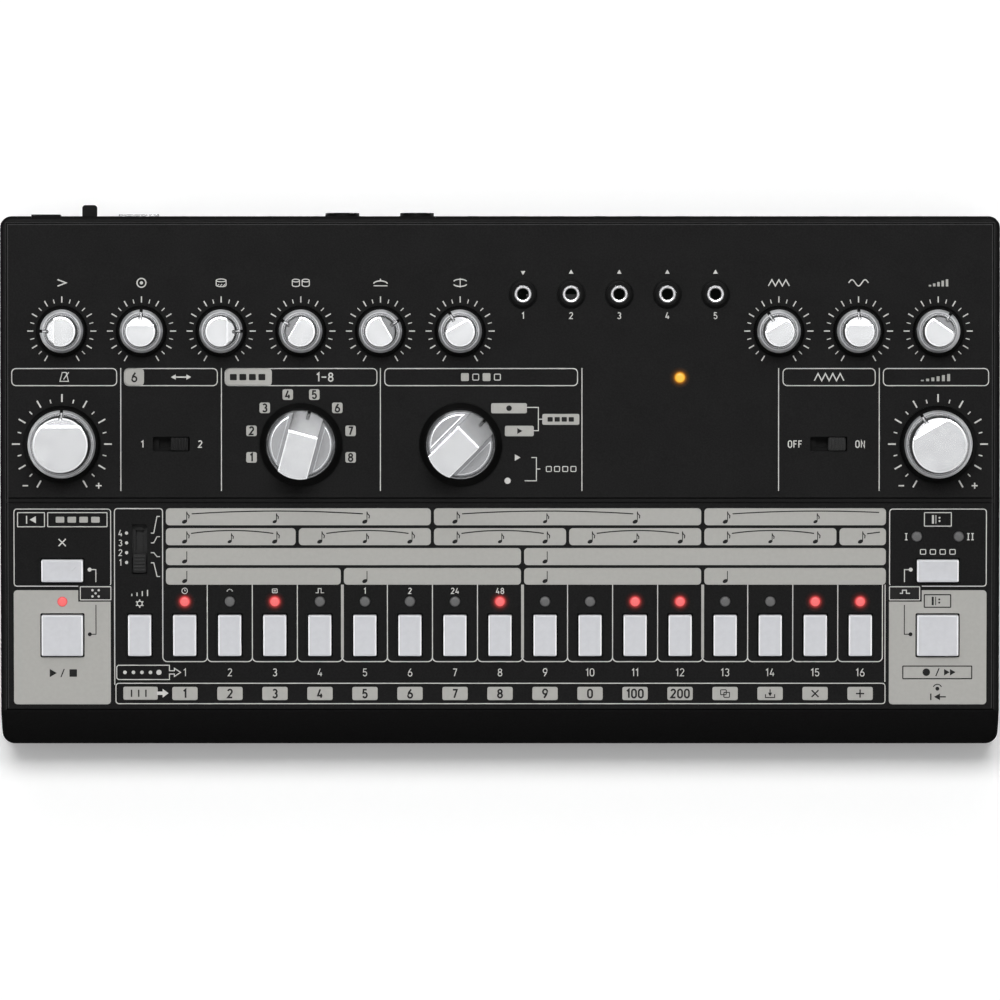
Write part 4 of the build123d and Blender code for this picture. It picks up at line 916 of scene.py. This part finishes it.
def control_print():
    """Dials, header boxes and positions on the control panel."""
    sheet = Print()
    for x in LEFT_KNOBS + RIGHT_KNOBS:
        ticks(sheet.at(x, SMALL_ROW), 8.7, 10.55, 9.95, 0.36, 0.27)
    for x in (-END_COLUMN, END_COLUMN):
        ticks(sheet.at(x, LARGE_ROW), 12.85, 15.25, 14.0, 0.46, 0.35)
        sheet.at(x - 11.2, 4.5).text("-", 3.0, 0.4)
        sheet.at(x + 11.2, 4.5).text("+", 3.0, 0.4)
    header_print(sheet)
    knob_signs(sheet)
    # Eight numbered tabs round the instrument knob.
    for number in range(8):
        across, up = clockwise(30 * number - 105, 15.65)
        spot = (INSTRUMENT_X + across, LARGE_ROW + up)
        sheet.at(*spot).tab(-1.6, -1.62, 1.6, 1.62, 0.6)
        sheet.dark(*spot).text(str(number + 1), 2.4, 0.5)
    mode_signs(sheet)
    for words, x in (("OFF", 90.0), ("ON", 109.9), ("1", -8.8 - SLIDE_X), ("2", 8.8 - SLIDE_X)):
        sheet.at(x, LARGE_ROW).text(words, 2.1, 0.32)
    for number, x in enumerate(JACK_XS, 1):
        sheet.at(x, 69.6).head(0, 0, 0.82, 180 if number == 1 else 0)
        sheet.at(x, 56.4).text(str(number), 1.95, 0.28)
    sheet.finish("control_panel_print", UPPER)


def header_print(sheet):
    """The header boxes, with plain signs in place of words."""
    y = (HEADER_LOW + HEADER_HIGH) / 2
    sheet.at()
    for left, right in (
        (-149.1, -116.8), (-114.7, -86.1), (-84.0, -37.4), (-35.3, 23.8), (86.2, 114.6), (116.8, 149.2),
    ):
        sheet.box(left, HEADER_LOW, right, HEADER_HIGH, radius=1.3)
    for x in (-115.7, -85.0, -36.5, 25.0, 85.0, 115.7):
        sheet.stroke(HAIR, x, 2.9, x, HEADER_HIGH)
    sheet.tab(-114.6, HEADER_LOW, -108.6, HEADER_HIGH, 1.3)
    sheet.tab(-83.9, HEADER_LOW, -69.6, HEADER_HIGH, 1.3)
    sheet.dark(-111.6, y).text("6", 2.7, 0.5)
    sheet.dark(-82.4, y).row(sheet.tab, 4, 2.9, 0, -0.95, 2.1, 0.95, 0.25)
    sheet.at(-132.95, y).stroke(HAIR, -1.3, -1.3, -0.6, 1.4, 0.6, 1.4, 1.3, -1.3, closed=True)
    sheet.stroke(HAIR, -0.2, -0.7, 1.4, 1.5, lift=0.1)
    sheet.at(-97.3, y).stroke(0.4, -1.6, 0, 1.6, 0)
    sheet.head(-2.1, 0, 0.95, -90)
    sheet.head(2.1, 0, 0.95, 90)
    sheet.at(-53.4, y).text("1-8", 2.6, 0.4)
    sheet.at(-10.7, y).row(sheet.tab, 2, 6.6, -1.2, -1.2, 1.2, 1.2, 0.35)
    sheet.row(sheet.box, 2, 6.6, 2.25, -1.05, 4.35, 1.05, HAIR, 0.3)
    sheet.at(100.4, y).line(zigzag(9.0, 2.2, 4), 0.36)
    sheet.at(133.0, y)
    for i in range(6):
        sheet.tab(1.6 * i - 4.6, -1.25, 1.6 * i - 3.7, 0.36 * i - 0.85, 0.1)


def knob_signs(sheet):
    """A small sign over each knob of the back row."""
    y = KNOB_SIGN_ROW
    sheet.at(LEFT_KNOBS[0], y).stroke(0.36, -1.3, 1.0, 1.3, 0, -1.3, -1.0)
    sheet.at(LEFT_KNOBS[1], y).line(circle(1.35, 32), 0.36, closed=True)
    sheet.dot(0, 0, 0.5)
    drum_side(sheet.at(LEFT_KNOBS[2], y), 0, 3.0, 1.5)
    for lean in (-0.9, 0.0, 0.9):
        sheet.stroke(0.22, lean - 0.3, -0.95, lean + 0.3, -0.4, lift=0.1)
    for side in (-1.5, 1.5):
        drum_side(sheet.at(LEFT_KNOBS[3], y), side, 2.2, 1.4)
    sheet.at(LEFT_KNOBS[4], y).line(arc(0, -0.5, 2.2, 1.1, 15, 165, 14), 0.36)
    sheet.stroke(0.34, 0, 0.5, 0, 1.25, lift=0.1)
    sheet.stroke(0.3, -2.1, -0.9, 2.1, -0.9)
    sheet.at(LEFT_KNOBS[5], y).line(arc(0, 0.3, 2.0, 0.8, 12, 168, 14), 0.34)
    sheet.line(arc(0, -0.3, 2.0, 0.8, -12, -168, 14), 0.34)
    sheet.stroke(0.26, 0, -1.4, 0, 1.4, lift=0.1)
    sheet.at(RIGHT_KNOBS[0], y).line(zigzag(6.4, 1.9, 3), 0.34)
    sheet.at(RIGHT_KNOBS[1], y).line(wave(6.0, 1.9, 1.5), 0.34)
    sheet.at(RIGHT_KNOBS[2], y)
    for i in range(5):
        sheet.tab(1.3 * i - 2.9, -1.1, 1.3 * i - 2.15, 0.42 * i - 0.6, 0.1)


def mode_signs(sheet):
    """The mode knob's positions: record and play signs, joined in two pairs."""
    sheet.at().tab(-2.7, 26.6, 8.2, 29.7, 0.5)
    sheet.tab(1.5, 19.6, 10.3, 22.8, 0.5)
    sheet.tab(12.9, 23.1, 24.2, 26.4, 0.5)
    sheet.stroke(HAIR, 8.2, 28.4, 11.7, 28.4, 11.7, 21.3, 10.3, 21.3)
    sheet.stroke(HAIR, 11.7, 24.8, 12.9, 24.8, lift=0.1)
    sheet.head(5.1, 13.1, 1.15, 90)
    sheet.dot(2.3, 6.0, 0.95)
    sheet.stroke(HAIR, 9.6, 13.1, 11.1, 13.1, 11.1, 6.0, 7.5, 6.0)
    sheet.stroke(HAIR, 11.1, 9.6, 12.3, 9.6, lift=0.1)
    sheet.row(sheet.box, 4, 2.5, 14.0, 8.7, 15.8, 10.5, 0.26, 0.25)
    sheet.dark().dot(2.75, 28.15, 0.85)
    sheet.head(5.8, 21.2, 1.05, 90)
    sheet.row(sheet.tab, 4, 2.15, 14.5, 24.05, 16.1, 25.45, 0.2)


# Rows of the step panel.
BAR_ROWS = [(-7.6, -2.4), (-13.7, -8.5), (-19.8, -14.6), (-25.8, -20.7)]
BAR_SPLITS = [(5, 11), (2, 5, 8, 11, 14), (7,), (3, 7, 11)]
BARS_LEFT, BARS_RIGHT = -102.0, 117.8
CELL_TOP, CELL_BOTTOM, CELL_CORNER = -25.8, -49.4, 1.4
CLOCK_ROW, NUMBER_ROW, LABEL_ROW = -27.7, -52.7, -59.2
LABELS = ("1", "2", "3", "4", "5", "6", "7", "8", "9", "0", "100", "200")
FULL_NOTE, SMALL_NOTE = 3.7, 3.0


def note(sheet, step, row, height=FULL_NOTE, flagged=True):
    """A quarter note, or an eighth note with one flag, standing on a row's low edge."""
    lean, size = radians(25), height / FULL_NOTE
    oval = [(0.84 * size * a, 0.56 * size * b) for a, b in circle(1.0, 20)]
    head = [(a * cos(lean) - b * sin(lean), a * sin(lean) + b * cos(lean)) for a, b in oval]
    sheet.dark(STEP_XS[step], BAR_ROWS[row][0] + 1.1).patch(head)
    stem, top = 0.66 * size, 3.1 * size
    sheet.stroke(0.24, stem, 0.1, stem, top, lift=0.1)
    if flagged:
        sheet.stroke(0.3, stem, top, stem + 0.12, top - 0.6 * size, stem + 0.75 * size, top - 1.25 * size,
                     stem + 0.62 * size, top - 2.1 * size, lift=0.2)


def tie(sheet, left, right, low, rise=0.85, cut=BARS_RIGHT):
    """A shallow arc from one note to another, or as far as it is cut."""
    shares = [i / 28 for i in range(29)]
    points = [(left + (right - left) * s, low + rise * (1 - (2 * s - 1) ** 2)) for s in shares]
    sheet.dark().line([p for p in points if p[0] <= cut], 0.34)


def note_bars(sheet):
    """Four rows of light bars with the notes that each scale plays."""
    sheet.at()
    for (low, high), splits in zip(BAR_ROWS, BAR_SPLITS):
        edges = [BARS_LEFT]
        for after in splits:
            middle = (STEP_XS[after] + STEP_XS[after + 1]) / 2
            edges += [middle - 0.48, middle + 0.48]
        edges.append(BARS_RIGHT)
        for left, right in zip(edges[::2], edges[1::2]):
            sheet.tab(left, low, right, high, 1.1)
    low = BAR_ROWS[0][0]
    for step in (0, 2, 4, 6, 8, 10, 12, 14):
        note(sheet, step, 0, SMALL_NOTE if step in (2, 8, 14) else FULL_NOTE)
    for first in (0, 6):
        tie(sheet, STEP_XS[first] + 2.2, STEP_XS[first + 4] - 0.6, low + 3.5)
    tie(sheet, STEP_XS[12] + 2.2, STEP_XS[12] + 54.4, low + 3.5, cut=BARS_RIGHT - 1.8)
    low = BAR_ROWS[1][0]
    for step in range(STEP_COUNT):
        note(sheet, step, 1, SMALL_NOTE if step % 3 == 1 else FULL_NOTE)
    for first in range(0, 15, 3):
        tie(sheet, STEP_XS[first] + 2.0, STEP_XS[first + 2] - 0.4, low + 3.6, 0.9)
    sheet.dark().stroke(0.34, STEP_XS[15] + 2.0, low + 3.5, BARS_RIGHT - 1.8, low + 4.0)
    for row, steps in ((2, (0, 8)), (3, (0, 4, 8, 12))):
        for step in steps:
            note(sheet, step, row, flagged=False)


def step_cells(sheet):
    """A cell round each step's lamp and key, with its number, and the row of tabs below."""
    edges = [-103.0, *[(a + b) / 2 for a, b in zip(STEP_XS, STEP_XS[1:])], 116.8]
    for i, (left, right) in enumerate(zip(edges, edges[1:])):
        path = [(left, CELL_TOP)] if i == 0 else []
        for x, start in ((left + CELL_CORNER, 180), (right - CELL_CORNER, 270)):
            path += arc(x, CELL_BOTTOM + CELL_CORNER, CELL_CORNER, CELL_CORNER, start, start + 90, 6)
        if i == STEP_COUNT - 1:
            path.append((right, CELL_TOP))
        sheet.at().line(path, 0.3)
        if i:
            beat = i % 4 == 0
            sheet.at(left, 0, GREY if beat else WHITE)
            sheet.stroke(0.85 if beat else HAIR, 0, CELL_BOTTOM + CELL_CORNER - 0.2, 0, CELL_TOP, lift=0.1)
    for i, x in enumerate(STEP_XS):
        sheet.at(x, NUMBER_ROW).text(str(i + 1), 2.3, 0.26)
        sheet.at(x, LABEL_ROW).tab(-3.87, -2.0, 3.87, 2.05, 0.6)
        if i < len(LABELS):
            sheet.dark(x, LABEL_ROW).text(LABELS[i], 2.6, 0.52)
    sheet.at().box(-117.5, -62.45, 117.8, -55.9)
    sheet.stroke(HAIR, 117.6, CELL_TOP, 117.6, -55.6, lift=0.1)
    # The arrow tab that starts the row of labels, and the outlined arrow before the numbers.
    sheet.at(0, -59.1).tab(-115.1, -2.0, -104.6, 2.0, 0.5)
    sheet.stroke(1.0, -104.8, 0, -102.6, 0, lift=0.1)
    sheet.patch([(-103.1, -1.35), (-101.3, 0), (-103.1, 1.35)], 0.2)
    for x in (-112.6, -110.4, -108.2):
        sheet.dark(x, -59.1).stroke(0.42, 0, -1.1, 0, 1.1)
    sheet.at(0, NUMBER_ROW).stroke(
        HAIR, -116.6, -2.2, -101.0, -2.2, -101.0, -0.5, -99.5, -0.5, -99.5, -1.25, -97.6, 0, -99.5, 1.25,
        -99.5, 0.5, -101.0, 0.5, -101.0, 2.2, -116.6, 2.2, -117.1, 1.7, -117.1, -1.7, closed=True)
    for i in range(5):
        sheet.dot(2.6 * i - 114.6, 0, 0.55 if i < 4 else 0.8)


def edit_signs(sheet):
    """Copy, paste, erase and insert, as signs on the last four tabs."""
    copy, paste, erase, insert = STEP_XS[12:]
    sheet.dark(copy, LABEL_ROW).box(-1.5, -0.5, 0.5, 1.3, 0.28, 0.2)
    sheet.box(-0.5, -1.3, 1.5, 0.5, 0.28, 0.2, 0.1)
    sheet.dark(paste, LABEL_ROW).stroke(0.3, -1.4, -0.2, -1.4, -1.2, 1.4, -1.2, 1.4, -0.2)
    sheet.head(0, -0.1, 0.75, 180)
    sheet.stroke(0.34, 0, 0, 0, 1.3, lift=0.1)
    cross(sheet.dark(erase, LABEL_ROW), 1.05, 0.4)
    sheet.dark(insert, LABEL_ROW).stroke(0.42, -1.25, 0, 1.25, 0)
    sheet.stroke(0.42, 0, -1.25, 0, 1.25, lift=0.1)


def clock_signs(sheet):
    """What drives the clock, over the first eight lamps: four signs and four rates."""
    sheet.at(STEP_XS[0], CLOCK_ROW).line(circle(0.85, 24), 0.22, closed=True)
    sheet.stroke(0.2, 0, 0.5, 0, 0, 0.4, 0, lift=0.1)
    sheet.at(STEP_XS[1], CLOCK_ROW - 0.3)
    for turn in (-70, -35, 0, 35, 70):
        sheet.dot(*clockwise(turn, 0.8), 0.17)
    sheet.at(STEP_XS[2], CLOCK_ROW).box(-0.85, -0.7, 0.85, 0.7, 0.22, 0.15)
    sheet.stroke(0.3, -0.4, 0, 0.4, 0)
    sheet.at(STEP_XS[3], CLOCK_ROW)
    sheet.stroke(0.24, -1.3, -0.6, -0.5, -0.6, -0.5, 0.7, 0.4, 0.7, 0.4, -0.6, 1.3, -0.6)
    for x, rate in zip(STEP_XS[4:8], ("1", "2", "24", "48")):
        sheet.at(x, CLOCK_ROW).text(rate, 1.75, 0.26)


def scale_column(sheet):
    """The scale switch's positions, joined to the bars that they choose."""
    for i, (start, end) in enumerate(((-10.0, -4.9), (-13.0, -11.1), (-16.0, -17.2), (-19.1, -23.3))):
        y = -10.0 - 3.0 * i
        sheet.at(-115.9, y).text(str(4 - i), 1.9, 0.27)
        sheet.at().dot(-114.0, y, 0.5)
        sheet.stroke(HAIR, -106.6, start, -105.7, start, -104.7, end, -103.8, end)
    corners = arc(-116.8, -3.4, 0.9, 0.9, 180, 90, 4) + arc(-103.9, -3.4, 0.9, 0.9, 90, 0, 4)
    sheet.line([*corners, (-103.0, -25.9)], 0.3)
    sheet.stroke(0.3, -117.7, -3.4, -117.7, -56.5, lift=0.1)
    sheet.at(FUNCTION_X, -28.4)
    for i in range(4):
        sheet.stroke(0.34, 1.6 * i - 2.4, -0.9, 1.6 * i - 2.4, 0.4 * i - 0.2)
    sheet.at(FUNCTION_X, -31.6).line(circle(0.75, 20), 0.3, closed=True)
    for turn in range(0, 360, 60):
        sheet.stroke(0.36, *clockwise(turn, 0.8), *clockwise(turn, 1.3), lift=0.1)


def end_blocks(sheet):
    """The blocks at both ends: an outlined one over a filled one, joined by a tab."""
    for side, left, right, edge, tab_left, tab_right, lead in (
        (-1, -148.5, -118.7, -118.9, -128.3, -118.7, -123.4), (1, 118.8, 148.6, 148.6, 118.8, 128.3, 123.5),
    ):
        sheet.at().box(left, -26.4, right, -2.5)
        field = upright(rounded(edge - left, 35.0, 1.1, (left + edge) / 2, -45.0), -0.01, INK, GREY)
        opening = upright(rounded(13.5, 13.5, KEY_CORNER, side * END_COLUMN, STEP_ROW), -1, 1, GREY)
        merge(sheet.bm, carve(field, opening))
        sheet.dark().tab(tab_left - 0.5, -31.0, tab_right + 0.5, -25.9, 0.1)
        sheet.at(layer=2).box(tab_left, -30.6, tab_right, -26.3, HAIR, 0.15)
        for choose, start, end in ((sheet.at, -25.0, -21.2), (sheet.dark, -32.0, -41.0)):
            choose(lead, 0).stroke(HAIR, 0, start, 0, end, 1.9 * side, end)
            sheet.dot(1.9 * side, end, 0.6, 0.1)


def left_signs(sheet):
    """Restart, erase, chance and run signs on the left block."""
    sheet.at().box(-147.4, -8.2, -138.9, -3.6, HAIR, 0.15)
    sheet.stroke(0.36, -144.5, -7.1, -144.5, -4.7)
    sheet.head(-142.3, -5.9, 1.25, -90)
    sheet.box(-138.2, -8.2, -119.8, -3.6, HAIR, 0.15)
    sheet.row(sheet.tab, 4, 3.6, -135.6, -6.8, -133.0, -5.0, 0.25)
    cross(sheet.at(-END_COLUMN, -12.9), 1.1, 0.36)
    sheet.at(-123.5, -28.45, layer=2)
    for across, up in ((-1, -1), (-1, 1), (0, 0), (1, -1), (1, 1)):
        sheet.dot(0.95 * across, 0.95 * up, 0.36)
    sheet.dark(-END_COLUMN, -52.9).head(-3.2, 0, 1.45, 90)
    sheet.stroke(0.34, -0.5, -1.25, 0.5, 1.25)
    sheet.tab(2.1, -1.15, 4.4, 1.15, 0.15)


def right_signs(sheet):
    """The repeat sign, the two pattern groups and the write signs on the right block."""
    sheet.at().box(129.4, -8.0, 137.9, -3.6, HAIR, 0.15)
    repeat_sign(sheet.at(END_COLUMN, -5.8))
    repeat_sign(sheet.dark(END_COLUMN, -30.8))
    sheet.at(124.0, PATTERN_LED_ROW).text("I", 2.1, 0.3)
    sheet.at(143.6, PATTERN_LED_ROW).text("II", 2.1, 0.3)
    sheet.at(END_COLUMN, 0).row(sheet.box, 4, 3.0, -5.45, -16.6, -3.55, -14.9, 0.26, 0.25)
    sheet.at(124.1, -28.45, layer=2)
    sheet.stroke(0.32, -2.0, 0, -1.2, 0, -1.2, 0.95, 0, 0.95, 0, 0, 1.1, 0)
    sheet.dark().box(129.4, -32.9, 137.8, -28.7, 0.34, 0.15)
    sheet.box(122.9, -54.8, 144.3, -50.6, 0.34, 0.15)
    sheet.dark(END_COLUMN, -52.65).dot(-3.4, 0, 1.15)
    sheet.stroke(0.34, -0.5, -1.2, 0.5, 1.2)
    for shift in (2.6, 4.4):
        sheet.head(shift, 0, 1.15, 90)
    sheet.dark(END_COLUMN, -57.7).dot(0, 0, 0.6)
    sheet.line(arc(0, 0, 1.35, 1.35, 25, 155, 10), 0.3)
    sheet.dark(END_COLUMN, -60.2).stroke(0.4, -2.0, -1.0, -2.0, 1.0)
    sheet.head(0.2, 0, 1.2, -90)
    sheet.stroke(0.4, 0.6, 0, 2.6, 0, lift=0.1)


def step_print():
    """Everything that is printed on the step panel."""
    sheet = Print()
    for draw in (
        note_bars, step_cells, edit_signs, clock_signs, scale_column, end_blocks, left_signs, right_signs,
    ):
        draw(sheet)
    sheet.finish("step_panel_print", LOWER)


def rim_edges():
    """Painted highlights: fine lighter lines where the case's rim ends and where the panels begin, standing in for
    light caught on their edges.
    """
    for kind, side, rear, front, width, material in (
        ("rim", 150.84, 84.82, -64.0, 0.24, CASE_EDGE_HIGHLIGHT), ("panel", 150.2, 84.2, -63.7, 0.26, PANEL_EDGE_HIGHLIGHT),
    ):
        for area, panel, points in (
            ("upper", UPPER, [(-side, 0), (-side, rear), (side, rear), (side, 0)]),
            ("left", LOWER, [(-side, 0), (-side, front)]), ("right", LOWER, [(side, 0), (side, front)]),
        ):
            edge = Print()
            edge.line(points, width)
            piece(f"{kind}_edge_{area}", edge.bm, [material], panel, "chassis", "panel_paint")


# --- Frame nodes that stay --------------------------------------------------------------
def repaint(node, other, chosen):
    """Gives a second finish to the faces of a frame node that a test picks, in millimetres."""
    mesh = frame["nodes"][node].data
    mesh.materials.append(other)
    for face in mesh.polygons:
        if chosen(face.center / MM, face.normal):
            face.material_index = len(mesh.materials) - 1


def dress_frame():
    """Every frame node gets the finish of its slot, and mixed ones a second."""
    for row in frame["record"]["subparts"]:
        mesh = frame["nodes"][row["node"]].data
        mesh.materials.clear()
        mesh.materials.append(SLOT_FINISH[row["material_slot"]])
        for face in mesh.polygons:
            face.material_index = 0
    scale_y = FOLD_Y + SCALE_ROW
    repaint("slide_switches", SLIDER_GREY, lambda p, n: hypot(p.x - FUNCTION_X, p.y - scale_y) < 9)
    # Painted light: the upward faces of the rim get the lighter copy of the case plastic, with a little sheen.
    repaint("top_shell", CASE_RIM_LIT, lambda p, n: n.z > 0.97 and p.z > 34 and p.y > -72)
    repaint("usb_socket", BLACK, lambda p, n: hypot(p.x + 110.7, p.z - 18.8) < 4.2 and p.y < REAR_Y + 0.9)
    repaint("voice_jacks", BLACK, lambda p, n: p.y < REAR_Y - 2.4)
    repaint("output_jacks", CHROME, lambda p, n: p.y > REAR_Y - 12 and any(
        hypot(p.x - x, p.z - 20.5) < 4.4 for x in (-48.4, -25.5)))


# --- Studio -----------------------------------------------------------------------------
CAMERA_HEIGHT = 3.4       # metres above the panels
SENSOR = 36.0
PICTURE_WIDTH = 0.30518   # metres across the picture at the panels
VIEW_Y = -0.0079
LIGHT_DISTANCE = 3.0
FLOOR_GLOW = 0.11
# Levels of the dome, from the horizon to overhead.
DOME = (
    (0.0, 0.05), (0.25, 0.08), (0.55, 0.2), (0.8, 0.2), (0.9, 0.5), (0.925, 1.5), (0.955, 1.5),
    (0.975, 0.49), (1.0, 0.49))


def make_camera():
    camera = add_object("camera", bpy.data.cameras.new("camera"))
    camera.data.sensor_width = SENSOR
    camera.data.lens = SENSOR * CAMERA_HEIGHT / PICTURE_WIDTH
    camera.data.clip_end = 100
    camera.location = (0, VIEW_Y, CAMERA_HEIGHT + FOLD_Z * MM)
    bpy.context.scene.camera = camera


def soft_light(name, azimuth, elevation, width, depth, radiance):
    """A far soft light that faces the object; azimuth 0 is behind it, 90 at its right."""
    light = bpy.data.lights.new(name, "AREA")
    light.shape = "RECTANGLE"
    light.size, light.size_y = width, depth
    light.energy = radiance * pi * width * depth
    made = add_object(name, light)
    turn, rise = radians(azimuth), radians(elevation)
    away = Vector((sin(turn) * cos(rise), cos(turn) * cos(rise), sin(rise)))
    made.location = away * LIGHT_DISTANCE
    made.rotation_mode = "QUATERNION"
    made.rotation_quaternion = away.to_track_quat("Z", "Y")
    made.visible_camera = False


def make_world():
    """A dome that is dim at the horizon and brighter overhead."""
    world = bpy.data.worlds.new("dome")
    bpy.context.scene.world = world
    world.use_nodes = True
    tree = world.node_tree
    where = tree.nodes.new("ShaderNodeTexCoord")
    split = tree.nodes.new("ShaderNodeSeparateXYZ")
    tree.links.new(where.outputs["Generated"], split.inputs["Vector"])
    ramp = tree.nodes.new("ShaderNodeValToRGB")
    set_stops(ramp, [(height, (level, level, level, 1)) for height, level in DOME])
    tree.links.new(split.outputs["Z"], ramp.inputs["Fac"])
    tree.links.new(ramp.outputs["Color"], tree.nodes["Background"].inputs["Color"])


def make_floor():
    """A white floor that keeps the shadow; the camera and mirrors see a little light of its own."""
    bm = bmesh.new()
    bmesh.ops.create_grid(bm, x_segments=1, y_segments=1, size=20)
    mesh = bpy.data.meshes.new("floor")
    bm.to_mesh(mesh)
    bm.free()
    floor = add_object("floor", mesh)
    made = Finish("floor", roughness=0.9, specular=0.0).set("Emission Color", (1, 1, 1, 1))
    made.colour((0.95, 0.95, 0.95, 1), (0.96, 0.96, 0.96, 1), 400)
    path = made.node("ShaderNodeLightPath")
    total = path.outputs["Is Camera Ray"]
    for ray in ("Is Glossy Ray", "Is Transmission Ray"):
        either = made.node("ShaderNodeMath", operation="MAXIMUM")
        made.link(total, either.inputs[0])
        made.link(path.outputs[ray], either.inputs[1])
        total = either.outputs["Value"]
    strength = made.node("ShaderNodeMath", operation="MULTIPLY")
    strength.inputs[1].default_value = FLOOR_GLOW
    made.link(total, strength.inputs[0])
    made.link(strength.outputs["Value"], made.shader.inputs["Emission Strength"])
    mesh.materials.append(made.material)


dress_frame()
rim_edges()
make_knobs()
make_keys()
make_lamps()
make_jacks()
make_sliders()
control_print()
step_print()
make_floor()
make_world()
make_camera()
soft_light("light_high", -4, 68, 1.9, 0.8, 12.0)
soft_light("light_back", -6, 31, 2.2, 1.9, 1.2)
soft_light("light_left", -90, 39, 1.05, 0.75, 1.6)
soft_light("light_right", 90, 38, 0.9, 0.7, 1.1)
bpy.context.scene.view_settings.view_transform = "Standard"
